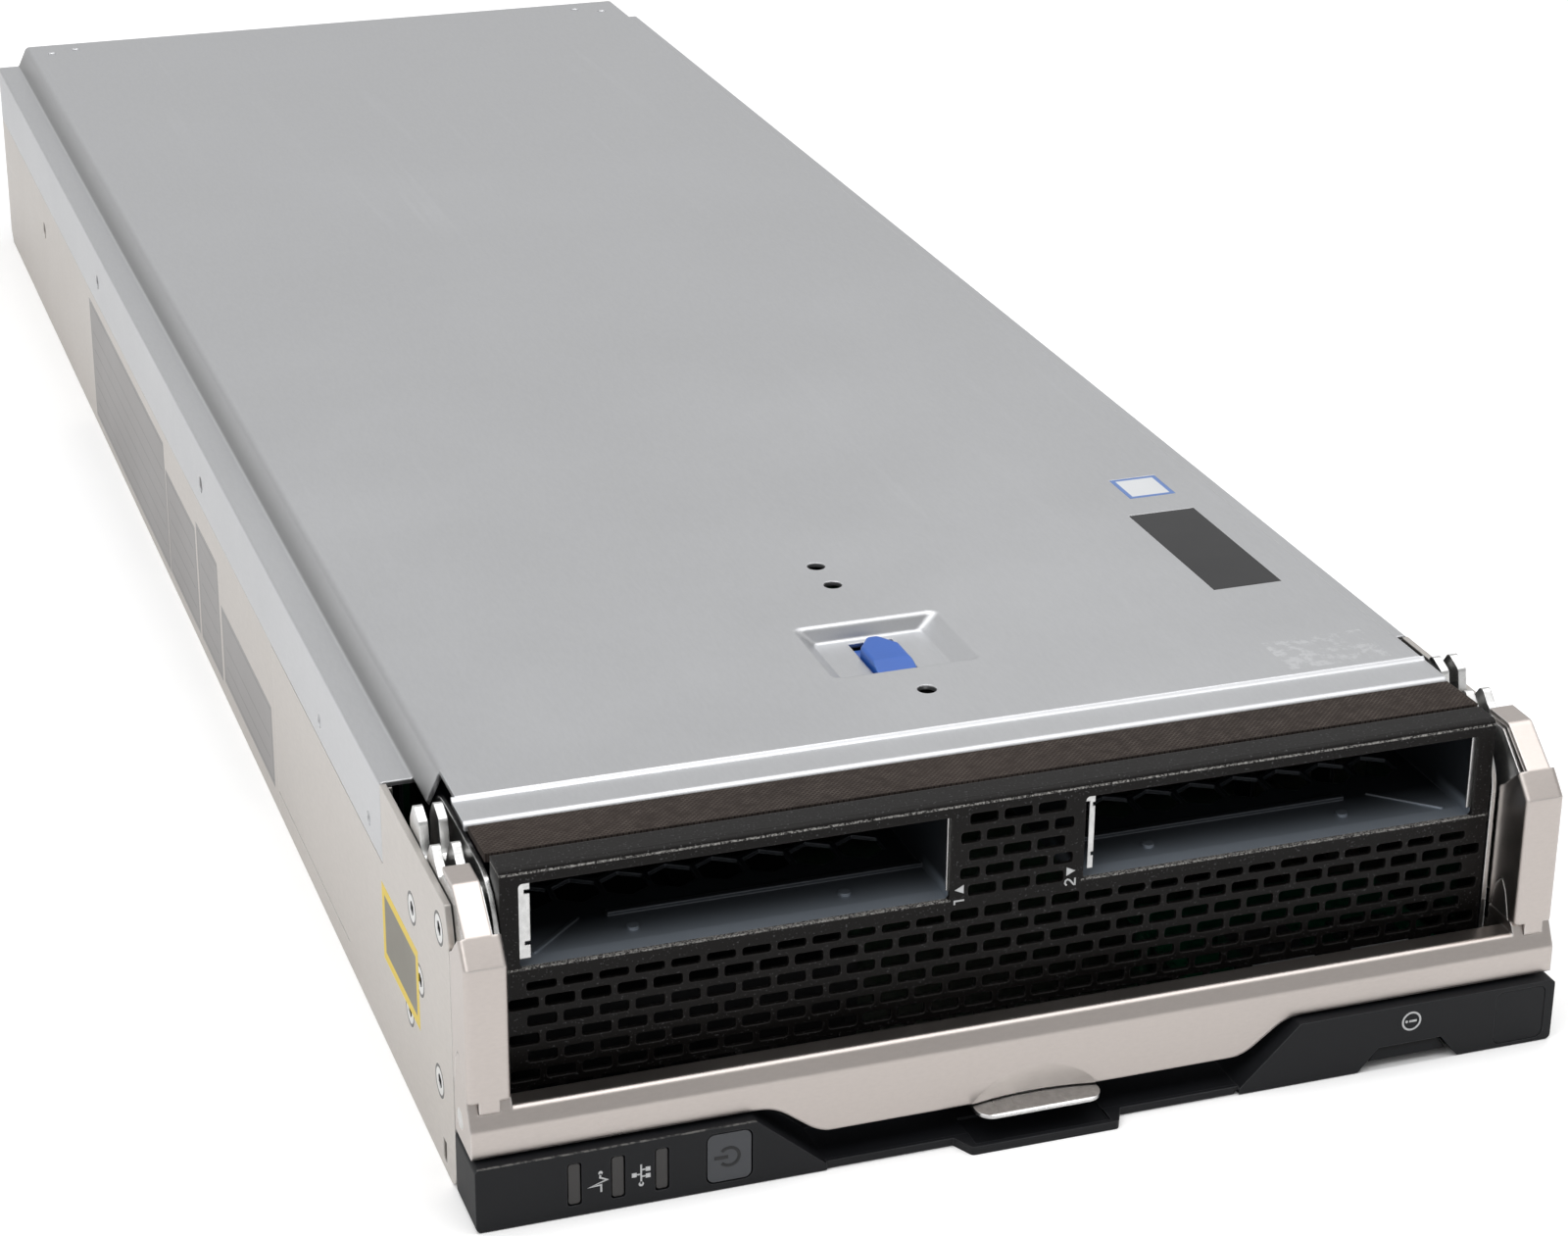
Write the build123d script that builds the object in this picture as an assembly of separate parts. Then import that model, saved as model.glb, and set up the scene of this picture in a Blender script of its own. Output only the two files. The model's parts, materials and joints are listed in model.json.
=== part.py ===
from build123d import *
import os

# Blade server, a half-height compute module that slides into an enclosure.
# Millimetres. X is the width, +Y points to the rear, +Z is up.
# The origin is the centre of the footprint, on the underside of the finger pocket.

# Overall size
overall_width = 215.0
overall_depth = 606.0
cover_top_z = 63.6
pocket_reach = 3.6           # finger pocket in front of the lower panel's face

# Sheet and clearances
tray_sheet = 1.2
cover_sheet = 1.0
cage_sheet = 0.8
bezel_sheet = 1.0
bar_sheet = 2.0
arm_sheet = 1.1
overrun = 1.0                # how far a cut runs past the face it opens
slip_gap = 0.3               # between pieces that move past each other
seat_gap = 0.1               # between pieces that are only set together
pin_clearance = 0.05         # radial, a shaft in its hole

half_width = overall_width / 2
front_y = pocket_reach - overall_depth / 2
rear_y = overall_depth / 2


def depth(distance):
    """Y of a place that lies this far behind the lower panel's face."""
    return front_y + distance


# Front of the chassis, distances behind the lower panel's face
bezel_depth = 14.5
bezel_lip_rear = 20.9
bezel_rounding = 1.3
gasket_front = 22.4
gasket_rear = 34.2
gasket_half = 98.5
gasket_low_z = 61.4
gasket_front_z = 63.2
gasket_rear_z = 62.7
cover_front = 35.0
cover_fold = 44.6
side_plate_front = 14.0
side_plate_rear = 170.0
cover_ledge_front = 66.0

# Access panel
cover_top_half = 98.2
cover_lip_half = 99.0
cover_lip_drop = 0.7
cover_lip_rounding = 1.3
cover_curl_z = 61.4
cover_joggle_half = 101.0
cover_joggle_inner_low = 100.36
cover_joggle_inner_high = 97.56
cover_joggle_front = 56.0
cover_ledge_z = 57.6
cover_flange_z = 40.9
cover_bend = 0.8
cover_rear_lip = 2.0
cover_hole_r = 1.95
cover_hole_depths = (60.6, 113.8, 124.0)
flange_hole_r = 2.0
flange_hole_places = ((404.4, 48.1), (251.0, 47.0))
flange_dimple_places = ((120.9, 45.2), (76.6, 45.0))
dimple_r = 1.5
dimple_depth = 0.35
rear_dimple_places = ((83.3, 594.5), (91.2, 589.5), (-91.4, 591.7), (-83.5, 594.5))

# Latch recess in the access panel and the button in it
recess_half = 15.6
recess_floor_half = 11.6
recess_front = 70.9
recess_rear = 95.0
recess_front_run = 2.2
recess_rear_run = 1.2
recess_drop = 3.4
recess_corner = 1.6
recess_shoulder_bend = 1.2
recess_floor_bend = 0.8
window_half = 4.7
window_front = 75.0
window_rear = 92.0
button_half = 4.1
button_tip_half = 1.2
button_front = 75.6
button_shoulder = 86.4
button_rear = 90.8
button_top_z = 62.0
button_nose_z = 60.5
button_slope = 4.2
button_corner = 1.1
button_edge_rounding = 0.7
button_flange = 1.6
button_flange_sheet = 1.2
button_tail_z = 54.4
button_tail_half = 2.6
button_tail_front = 80.0
button_tail_rear = 85.0
housing_half = 10.5
housing_front = 72.6
housing_rear = 94.2
housing_height = 9.4
housing_wall = 1.2

# Tray
floor_rear_lip = 4.0
joggle_step = 1.3
tray_wall_top = 56.3
tray_top_flange = 5.0
rear_corner_cut = 4.0
side_hole_depth = 513.7
side_hole_z = 29.8
side_hole_r = 2.5
rib_half = 70.0
rib_width = 5.0
rib_groove = 0.4
rib_depths = (190.0, 250.0, 310.0, 370.0, 430.0, 490.0, 550.0)

# Side plates at the front corners
plate_top_z = 57.4
plate_bottom_corner = 4.0
plate_screw_places = ((42.3, 43.4), (21.2, 50.4), (46.9, 19.5), (24.4, 17.3), (37.5, 31.0))
screw_head_r = 3.3
screw_recess_r = 1.5
screw_recess_depth = 0.6
square_hole = (20.6, 23.2, 2.0, 6.4)     # depth from, depth to, z from, z to
plate_line_z = 5.4
plate_line_width = 0.5
plate_line_groove = 0.25
plate_line_front = 100.0

# Handle pivot and cam plates
pivot_depth = 37.0
pivot_z = 47.0
pivot_pin_r = 2.5
bracket_inner = 98.2
bracket_sheet = 0.9
bracket_rear = 62.0
bracket_top_z = 60.0
bracket_corner = 12.0
bracket_foot = 6.0
cam_outer = 106.1
cam_inner = 100.7
cam_sheet = 1.7
cam_rounding = 1.2
cam_points = (
    (28.6, 59.6), (31.2, 62.3), (34.4, 58.0), (35.8, 55.4), (38.8, 55.2), (40.2, 61.8),
    (44.4, 63.5), (47.2, 59.5), (46.6, 50.0), (43.6, 42.5), (37.0, 39.4), (28.0, 40.5),
    (16.0, 40.0), (12.0, 33.0), (6.4, 33.0), (6.4, 50.6), (9.0, 54.1), (16.2, 60.3),
    (22.4, 60.3), (25.5, 57.6),
)
bush_r = 4.4

# Handle arms
arm_inner = 99.5
arm_face = 3.4
arm_bottom_z = 24.5
arm_bend_z = 51.0
arm_back = 13.6
shoulder_depth = 7.4
shoulder_z = 55.4
shoulder_back_depth = 11.9
shoulder_back_z = 50.9
arm_top_inner = 101.3
arm_top_outer = 106.2
arm_crest_depth = 15.4
arm_crest_z = 61.8
arm_crest_bend = 2.2
arm_top_rear = 22.4
arm_rounding = 1.1
arm_tab_inner = 101.7
arm_tab_outer = 105.5
arm_tab_z = 22.1

# Handle bar
bar_face = 2.2
bar_back = 13.2
bar_end_z = 13.95
bar_mid_z = 7.0
bar_mid_half = 42.1
bar_slope_half = 51.2
bar_slope_rounding = 9.0
bar_crease_z = 19.2
bar_crease_bend = 2.0
bar_edge_rounding = 0.3
bar_shoulder_depth = 4.7
bar_top_z = 24.4
bar_ledge_half = 99.4
bar_ledge_rear = 8.3
bar_ledge_z = 22.5
bar_rounding = 1.4
bar_end_sheet = 1.1
ear_points = ((2.9, 15.0), (12.6, 14.4), (13.4, 21.0), (11.6, 29.6), (9.7, 32.0), (7.9, 29.6), (6.2, 24.4))
ear_rounding = 0.8
ear_gap_share = 0.03
rivet_depth = 9.6
rivet_z = 18.2
rivet_r = 1.9
scoop_half = 12.7
scoop_top_z = 13.1
scoop_radius = 60.0

# Release lip
lip_half = 12.4
lip_reach = 2.0
lip_points = (
    (-2.0, 5.9), (4.7, 5.9), (6.6, 7.4), (10.2, 9.2), (9.2, 11.9), (7.9, 10.6), (4.5, 6.7), (-1.6, 6.65), (-2.0, 6.4),
)
lip_pivot_depth = 10.2
lip_pivot_z = 11.2
lip_pin_r = 1.2
lip_hub_r = 2.2
lip_corner = 3.2
lip_lug_half = 16.0
lip_lug_sheet = 2.0
lip_lug_low_z = 8.2
lip_lug_corner = 1.0

# Lower front panel
panel_bottom_z = 0.2
panel_top_z = 13.2
panel_wall = 1.8
panel_back = 13.6
panel_floor = 1.2
panel_left_top = 55.3
panel_left_low = 41.6
panel_right_top = 53.1
panel_right_low = 41.1
panel_slope_wall = 1.9
panel_corner = 1.0
band_rim_depth = 0.5
band_rim_width = 0.9
band_wall_depth = 12.7
pocket_half = 14.6
pocket_root_half = 17.2
pocket_wall = 1.1
pocket_floor = 1.0
pocket_rim_z = 1.7
pocket_rear = 7.0
nick_width = 0.8
nick_height = 0.7
lens_lefts = (-90.7, -82.6, -74.4)
lens_width = 2.7
lens_low_z = 2.3
lens_height = 8.8
lens_corner = 0.6
lens_sink = 0.25
lens_gap = 0.25
pipe_inset = 0.4
pipe_low_z = 8.2
pipe_high_z = 10.2
power_left = -64.5
power_right = -56.2
power_low_z = 1.8
power_high_z = 11.7
power_corner = 1.4
power_sink = 0.1
power_thick = 2.6
power_flange = 0.8
power_stem_r = 1.2
power_stem_z = 9.6
power_stem_rear = 15.9
switch_half = 3.0
switch_front = 17.2
switch_rear = 23.2
switch_height = 4.0
tab_slot_points = ((65.8, 0.0), (70.1, 4.9), (83.4, 4.9), (87.4, 0.0))
badge_left = 94.9
badge_right = 105.6
badge_low_z = 0.9
badge_high_z = 12.3
badge_corner = 1.6
badge_sink = 0.5
badge_sheet = 0.4

# Pull tab
grip_points = ((68.6, 1.7), (85.0, 1.7), (83.0, 4.4), (70.6, 4.4))
grip_depth = 0.9
grip_length = 3.0
card_left = 70.8
card_right = 82.8
card_low_z = 2.4
card_high_z = 3.6
card_length = 84.0
guide_front = 14.0
guide_rear = 92.0
guide_wall = 0.9

# Bezel
bezel_half = 98.0
bezel_low_z = 15.6
bezel_top_z = 63.4
bay_inner_left = 13.1
bay_inner_right = 13.4
bay_outer = 94.6
bay_low_z = 43.4
bay_high_z = 60.4
bay_corner = 0.8
slot_pitch = 6.72
slot_row_pitch = 3.67
slot_width = 5.6
slot_height = 2.35
slot_short_height = 1.8
slot_corner = 0.65
slot_first_z = 39.93
slot_rows = 7
slot_edge = 1.0
center_rows = 5
center_first_z = 44.74
center_half = 11.2

# Drive cage
hex_across = 8.2
hex_pitch = 9.3
hex_first_depth = 39.5
hex_rows = 8
hex_columns = 8
stud_r = 1.2
stud_height = 0.5
stud_depth = 23.0
stud_xs = (30.5, 71.2)
ridge_depth = 28.3
ridge_width = 1.4
ridge_height = 0.7
ridge_outer_x = 74.4
crease_points = ((3.3, 19.4), (4.0, 19.0), (15.1, 29.1), (14.4, 29.5))     # from the bay's outer edge, depth
crease_height = 0.3
cage_slope_run = 3.4
cage_slope_drop = 0.5
strip_sizes = ((0.0, 2.3, 0.4), (1.2, 1.1, 0.8))     # each bay: inset and width at its left, width at its right
strip_low_z = 44.9
strip_high_z = 59.9
strip_sheet = 0.5
strip_head = 1.0
strip_notch_zs = (47.9, 58.2)
strip_notch_height = 0.8
strip_notch_share = 0.45
cage_leg_width = 8.0
cage_leg_depths = (70.0, 104.0)
cage_notch_gap = 1.4
cage_bridge_front = 100.0

# Boards and what they carry
board_z = 6.2
board_sheet = 1.8
board_half = 103.0
board_front = 121.0
board_rear = 590.0
board_corner = 6.0
standoff_r = 2.6
board_screw_r = 3.0
board_screw_height = 1.6
standoff_xs = (-46.5, 0.0, 46.5)
standoff_depths = (136.0, 284.0, 444.0, 562.0)
cpu_depths = (201.0, 367.0)
socket_half = 38.5
socket_half_length = 29.0
socket_height = 4.2
cpu_half = 35.0
cpu_half_length = 25.0
cpu_seat = 1.0
cpu_height = 3.0
lid_half = 28.0
lid_half_length = 20.0
lid_height = 2.2
sink_half = 39.5
sink_half_length = 54.0
sink_base_height = 5.0
sink_top_z = 59.8
fin_sheet = 0.9
fin_count = 24
sink_screw_r = 3.2
sink_screw_height = 6.0
sink_screw_inset = 5.0
fin_notch = 11.0
dimm_first = 54.6
dimm_pitch = 8.4
dimm_count = 6
dimm_slot_half = 3.1
dimm_slot_half_length = 71.0
dimm_slot_height = 7.0
dimm_latch_height = 18.0
dimm_latch_length = 5.0
dimm_latch_half = 2.3
dimm_half_sheet = 0.7
dimm_half_length = 66.6
dimm_seat = 3.0
dimm_height = 31.2
chip_half_length = 5.6
chip_height = 12.0
chip_low = 16.0
chip_sheet = 1.1
chip_pitch = 14.2
chip_count = 9
coil_size = 8.0
coil_height = 7.0
coil_pitch = 11.0
coil_columns = 6
coil_depths = (262.0, 272.0, 429.0, 448.0)
can_r = 3.2
can_height = 9.0
can_depths = (293.0, 304.0)
hub_chip_half = 16.0
hub_chip_depth = 474.5
hub_chip_height = 3.0
hub_sink_half = 14.0
hub_sink_height = 8.0
cell_x = 46.0
cell_depth = 470.0
cell_r = 10.0
cell_height = 3.2
cell_holder = 1.6
mezz_centers = (-61.5, 0.0, 61.5)
mezz_half = 30.0
mezz_front = 494.0
mezz_rear = 588.0
mezz_z = 21.5
mezz_sheet = 1.6
mezz_sink_half = 20.0
mezz_sink_front = 502.0
mezz_sink_rear = 546.0
mezz_sink_base = 3.0
mezz_sink_height = 16.0
mezz_fin_sheet = 1.0
mezz_fin_count = 11
mezz_socket_half = 22.0
mezz_socket_front = 548.0
mezz_socket_rear = 556.0
mezz_post_r = 2.4
mezz_post_inset = 5.0
plug_half = 17.0
plug_front = 570.0
plug_height = 13.0
plug_wall = 1.4
plug_cavity = 10.0
plug_blade = 0.8
plug_blade_pitch = 3.4
plug_blade_count = 9
plug_blade_sink = 1.5
backplane_depth = 118.4
backplane_sheet = 1.8
backplane_low_z = 8.4
backplane_half = 95.0
backplane_window_half = 16.0
backplane_window_low_z = 20.0
backplane_window_high_z = 38.0
backplane_window_corner = 1.0
backplane_window_xs = (-74.0, -33.0, 33.0, 74.0)
drive_plug_half = 17.0
drive_plug_length = 6.0
drive_plug_half_height = 3.0
drive_plug_z = 50.0
drive_plug_wall = 1.2
riser_half = 26.0
riser_length = 7.0
riser_height = 9.0
battery_left = -92.0
battery_right = -24.0
battery_front = 30.0
battery_rear = 108.0
battery_height = 24.0
battery_corner = 3.0
battery_band = 0.8
battery_band_width = 6.0
service_board_left = 40.0
service_board_right = 94.0
service_board_front = 16.0
service_board_rear = 52.0
service_board_z = 11.7
small_board_sheet = 1.6
small_post_r = 2.0
small_post_inset = 3.5
port_front = 14.8
port_wall = 0.7
port_height = 5.1
port_tongue = 1.2
port_tongue_sink = 1.6
usb_left = 50.0
usb_width = 13.2
usb_length = 15.0
service_left = 71.0
service_width = 12.4
service_length = 11.0
panel_board_left = -96.0
panel_board_right = -50.0
panel_board_front = 18.0
panel_board_rear = 28.0
panel_board_z = 6.0

# Rear
rear_wall_depth = 597.0
rear_wall_sheet = 1.2
rear_wall_points = ((104.7, 1.3), (104.7, 54.9), (99.6, 54.9), (99.6, 57.2), (97.2, 62.2))
rear_slot_width = 7.0
rear_slot_height = 2.6
rear_slot_pitch = 9.4
rear_slot_row_pitch = 4.4
rear_slot_rows = 5
rear_slot_columns = 9
rear_slot_first_z = 41.4
guide_x = 99.0
guide_z = 17.0
guide_half = 5.4
guide_bore_r = 3.5
guide_bore_length = 14.0
guide_block_length = 20.0
guide_foot_half = 4.0
guide_foot_length = 7.0
power_plug_half = 21.5
power_plug_front = 572.0
power_plug_height = 11.6
power_plug_cavity = 12.0
power_blade_count = 8
power_blade_pitch = 4.9
power_blade = 1.2

# Thin labels, set flush into the faces that carry them
label_sheet = 0.15
top_labels = ((73.8, 89.2, 86.8, 129.0), (78.2, 89.2, 137.9, 149.2))      # x from, x to, depth from, depth to
side_labels = (
    (305.2, 424.0, 2.6, 37.6), (264.0, 304.4, 3.0, 31.0), (235.0, 262.0, 3.2, 33.4), (174.4, 232.6, 4.4, 24.0),
)
caution_label = (38.6, 67.6, 19.6, 36.2)


def block(x0, x1, y0, y1, z0, z1):
    """A box between two corners."""
    box = Box(abs(x1 - x0), abs(y1 - y0), abs(z1 - z0))
    return Pos((x0 + x1) / 2, (y0 + y1) / 2, (z0 + z1) / 2) * box


def loop(points, radii):
    """A closed line through corners, rounded by one radius or one for each corner."""
    return FilletPolyline(*points, radius=radii, close=True)


def prism_x(points, x0, x1, radii=0.0):
    """An outline of (y, z) corners, drawn out along X."""
    face = make_face(loop([(x0, y, z) for y, z in points], radii))
    return extrude(face, amount=x1 - x0, dir=(1, 0, 0))


def prism_y(points, y0, y1, radii=0.0):
    """An outline of (x, z) corners, drawn out along Y."""
    face = make_face(loop([(x, y0, z) for x, z in points], radii))
    return extrude(face, amount=y1 - y0, dir=(0, 1, 0))


def prism_z(points, z0, z1, radii=0.0):
    """An outline of (x, y) corners, drawn out along Z."""
    face = make_face(loop([(x, y, z0) for x, y in points], radii))
    return extrude(face, amount=z1 - z0, dir=(0, 0, 1))


def corners(a0, a1, b0, b1):
    """The four corners of a rectangle."""
    return [(a0, b0), (a1, b0), (a1, b1), (a0, b1)]


def wall_with_openings(points, openings, y0, y1):
    """An upright plate of (x, z) corners, pierced by rounded openings given as (corners, radius)."""
    rim = loop([(x, y0, z) for x, z in points], 0.0)
    holes = [loop([(x, y0, z) for x, z in corner_list], radius) for corner_list, radius in openings]
    return extrude(Face(rim, holes), amount=y1 - y0, dir=(0, 1, 0))


def rod_x(y, z, radius, x0, x1):
    """A round bar along X."""
    return Pos((x0 + x1) / 2, y, z) * Rot(0, 90, 0) * Cylinder(radius, abs(x1 - x0))


def rod_y(x, z, radius, y0, y1):
    """A round bar along Y."""
    return Pos(x, (y0 + y1) / 2, z) * Rot(90, 0, 0) * Cylinder(radius, abs(y1 - y0))


def rod_z(x, y, radius, z0, z1):
    """A round bar along Z."""
    return Pos(x, y, (z0 + z1) / 2) * Cylinder(radius, abs(z1 - z0))


def left_and_right(piece):
    """A right-hand piece and its mirror image."""
    return [mirror(piece, about=Plane.YZ), piece]


def behind(points):
    """Profile corners given as (distance behind the panel's face, z), as (y, z)."""
    return [(depth(d), z) for d, z in points]


def grown(points, share):
    """Corners moved away from their middle by a share of their distance."""
    middle_a = sum(a for a, b in points) / len(points)
    middle_b = sum(b for a, b in points) / len(points)
    return [(a + (a - middle_a) * share, b + (b - middle_b) * share) for a, b in points]


def spread(count, pitch):
    """Places of a centred row."""
    return [(n - (count - 1) / 2) * pitch for n in range(count)]


parts = {}


# Labels on the left side, as blocks that both the walls and the labels use
def side_label(place):
    d0, d1, z0, z1 = place
    return block(-half_width, -half_width + label_sheet, depth(d0), depth(d1), z0, z1)


# Tray: floor, joggled side walls and a low rear lip in one sheet
def make_tray():
    wall_inner = half_width - tray_sheet
    joggle_outer = half_width - joggle_step
    joggle_inner = joggle_outer - tray_sheet
    wall_front = depth(side_plate_rear) + seat_gap
    floor = block(-half_width, half_width, depth(panel_back) + seat_gap, rear_y, 0, tray_sheet)
    floor -= block(-half_width - overrun, -wall_inner, depth(panel_back), wall_front, -overrun, tray_sheet + overrun)
    floor -= block(wall_inner, half_width + overrun, depth(panel_back), wall_front, -overrun, tray_sheet + overrun)
    link_low = cover_flange_z - tray_sheet - seat_gap
    link_high = cover_flange_z - seat_gap
    lower = block(wall_inner, half_width, wall_front, rear_y, 0, link_high)
    link = block(joggle_inner, half_width, wall_front, rear_y, link_low, link_high)
    upper = block(joggle_inner, joggle_outer, wall_front, rear_y, link_low, tray_wall_top)
    flange = block(
        joggle_inner - tray_top_flange, joggle_outer, wall_front, rear_y, tray_wall_top - tray_sheet, tray_wall_top
    )
    fore = block(
        joggle_inner, joggle_outer, depth(cover_ledge_front), wall_front, cover_flange_z + seat_gap, tray_wall_top
    )
    shell = lower + link + upper + flange + fore
    shell -= rod_x(depth(side_hole_depth), side_hole_z, side_hole_r, wall_inner - overrun, half_width + overrun)
    lip = block(-wall_inner, wall_inner, rear_y - tray_sheet, rear_y, 0, floor_rear_lip)
    tray = floor + left_and_right(shell) + lip
    tray -= prism_x(
        ((rear_y - rear_corner_cut, 0), (rear_y + overrun, -overrun), (rear_y + overrun, rear_corner_cut)),
        wall_inner - overrun, half_width + overrun,
    )
    tray -= prism_x(
        ((rear_y - rear_corner_cut, 0), (rear_y + overrun, -overrun), (rear_y + overrun, rear_corner_cut)),
        -half_width - overrun, overrun - wall_inner,
    )
    ribs = [
        block(-rib_half, rib_half, depth(d), depth(d) + rib_width, -overrun, rib_groove) for d in rib_depths
    ]
    return tray - ribs - [side_label(place) for place in side_labels]


parts["base_tray"] = make_tray()


# Side plates that close the front corners and carry the handle's pins
def make_side_plate():
    top_reach = plate_top_z - pivot_z
    swing = pivot_depth - side_plate_front
    arc_front = pivot_depth - (swing ** 2 - top_reach ** 2) ** 0.5
    inner = half_width - tray_sheet
    low = corners(depth(side_plate_front), depth(side_plate_rear), 0, cover_flange_z - slip_gap)
    plate = prism_x(low, inner, half_width, [plate_bottom_corner, 0.0, 0.0, 0.0])
    tower = block(
        inner, half_width, depth(side_plate_front), depth(cover_ledge_front) - slip_gap,
        cover_flange_z - slip_gap - overrun, plate_top_z,
    )
    corner = block(
        inner - overrun, half_width + overrun, depth(side_plate_front) - overrun, depth(arc_front), pivot_z,
        plate_top_z + overrun,
    )
    corner -= rod_x(depth(pivot_depth), pivot_z, swing, inner - overrun, half_width + overrun)
    plate += tower - corner
    for d, z in plate_screw_places:
        plate -= rod_x(depth(d), z, screw_head_r, inner - overrun, half_width + overrun)
    d0, d1, z0, z1 = square_hole
    plate -= block(inner - overrun, half_width + overrun, depth(d0), depth(d1), z0, z1)
    plate -= block(
        half_width - plate_line_groove, half_width + overrun, depth(plate_line_front),
        depth(side_plate_rear) + overrun, plate_line_z, plate_line_z + plate_line_width,
    )
    return plate


side_plates = left_and_right(make_side_plate())
parts["side_plate_left"] = side_plates[0] - side_label(caution_label)
parts["side_plate_right"] = side_plates[1]


# Flat-head screws, flush in the side plates
def make_side_screws():
    screws = []
    for d, z in plate_screw_places:
        head = rod_x(depth(d), z, screw_head_r, half_width - tray_sheet, half_width)
        socket = Pos(half_width - screw_recess_depth, depth(d), z) * Rot(0, 90, 0)
        head -= socket * extrude(RegularPolygon(screw_recess_r, 6), amount=screw_recess_depth + overrun)
        left, right = left_and_right(head)
        screws += [left - side_label(caution_label), right]
    return screws


parts["side_screws"] = make_side_screws()


# Inner brackets, one beside each pair of cam plates, standing on the tray
def make_bracket():
    outer = bracket_inner + bracket_sheet
    sheet = prism_x(
        corners(depth(side_plate_front), depth(bracket_rear), tray_sheet, bracket_top_z),
        bracket_inner, outer, [0.0, 0.0, bracket_corner, bracket_corner],
    )
    foot = block(
        bracket_inner, half_width - tray_sheet, depth(bracket_rear) - bracket_foot, depth(bracket_rear),
        tray_sheet, cover_flange_z - slip_gap,
    )
    foot -= block(
        outer, half_width - tray_sheet - tray_sheet, depth(bracket_rear) - bracket_foot - overrun,
        depth(bracket_rear) - tray_sheet, tray_sheet + tray_sheet, bracket_top_z,
    )
    return sheet + foot


parts["pivot_bracket_left"], parts["pivot_bracket_right"] = left_and_right(make_bracket())

# Pins that the handle turns on
pivot_pin = rod_x(depth(pivot_depth), pivot_z, pivot_pin_r, bracket_inner + bracket_sheet, half_width - tray_sheet)
parts["pivot_pins"] = left_and_right(pivot_pin)


# Cam plates, two a side, with the two prongs that work against the enclosure
def make_cams():
    plates = []
    for low in (cam_inner, cam_outer - cam_sheet):
        plate = prism_x(behind(cam_points), low, low + cam_sheet, cam_rounding)
        plate -= rod_x(
            depth(pivot_depth), pivot_z, pivot_pin_r + pin_clearance, low - overrun, low + cam_sheet + overrun
        )
        plates.append(plate)
    return plates


cam_pairs = [left_and_right(plate) for plate in make_cams()]
parts["cam_plates_left"] = [left for left, right in cam_pairs]
parts["cam_plates_right"] = [right for left, right in cam_pairs]


# Bushes that keep each pair of cam plates apart on its pin
def make_bush():
    low = cam_inner + cam_sheet
    high = cam_outer - cam_sheet
    bush = rod_x(depth(pivot_depth), pivot_z, bush_r, low, high)
    return bush - rod_x(depth(pivot_depth), pivot_z, pivot_pin_r + pin_clearance, low - overrun, high + overrun)


parts["pivot_bushes"] = left_and_right(make_bush())


# Handle arms: a folded channel below the shoulders, a narrow crest above them
def make_arm():
    channel = prism_x(
        behind((
            (arm_face, arm_bottom_z), (arm_face, arm_bend_z), (shoulder_depth, shoulder_z),
            (shoulder_back_depth, shoulder_back_z), (arm_back, shoulder_back_z - arm_sheet), (arm_back, arm_bottom_z),
        )),
        arm_inner, half_width,
    )
    front = channel.edges().filter_by(
        lambda e: e.center().Y < depth(shoulder_depth) - seat_gap and abs(e.tangent_at(0).X) < 0.5
    )
    channel = fillet(front, arm_rounding)
    channel -= prism_x(
        behind((
            (arm_face + arm_sheet, arm_bottom_z - overrun), (arm_face + arm_sheet, arm_bend_z - arm_sheet / 2),
            (shoulder_depth + arm_sheet, shoulder_z - arm_sheet / 2), (arm_back + overrun, shoulder_z + overrun),
            (arm_back + overrun, arm_bottom_z - overrun),
        )),
        arm_inner + arm_sheet, half_width - arm_sheet,
    )
    crest = prism_x(
        behind((
            (shoulder_depth, shoulder_z), (arm_crest_depth, arm_crest_z), (arm_top_rear, arm_crest_z),
            (arm_top_rear, arm_crest_z - arm_sheet), (arm_crest_depth + arm_sheet / 2, arm_crest_z - arm_sheet),
            (shoulder_depth + arm_sheet / 2, shoulder_z - arm_sheet),
            (shoulder_depth - arm_sheet / 2, shoulder_z - arm_sheet),
        )),
        arm_top_inner, arm_top_outer, [0.0, arm_crest_bend, 0.0, 0.0, arm_sheet, 0.0, 0.0],
    )
    tab = block(
        arm_tab_inner, arm_tab_outer, depth(arm_face), depth(arm_face) + arm_sheet, arm_tab_z,
        arm_bottom_z + overrun,
    )
    arm = channel + crest + tab
    ear = behind(grown(ear_points, ear_gap_share))
    arm -= prism_x(ear, half_width - arm_sheet - overrun, half_width + overrun, ear_rounding)
    arm -= prism_x(ear, arm_inner - overrun, arm_inner + arm_sheet + seat_gap, ear_rounding)
    return arm


parts["handle_arm_left"], parts["handle_arm_right"] = left_and_right(make_arm())


# Handle bar: folded sheet, lower and narrower between the arms, with end plates, ears and a finger scoop
def bar_length(x0, x1, shoulder, rear, top):
    section = behind((
        (bar_face, bar_mid_z), (bar_face, bar_crease_z), (shoulder, top), (rear, top), (rear, top - bar_sheet),
        (shoulder + bar_sheet, top - bar_sheet), (bar_face + bar_sheet, bar_crease_z),
        (bar_face + bar_sheet, bar_mid_z),
    ))
    radii = [
        bar_edge_rounding, bar_crease_bend, bar_rounding, bar_edge_rounding, bar_edge_rounding, 0.0, 0.0,
        bar_edge_rounding,
    ]
    return prism_x(section, x0, x1, radii)


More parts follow.
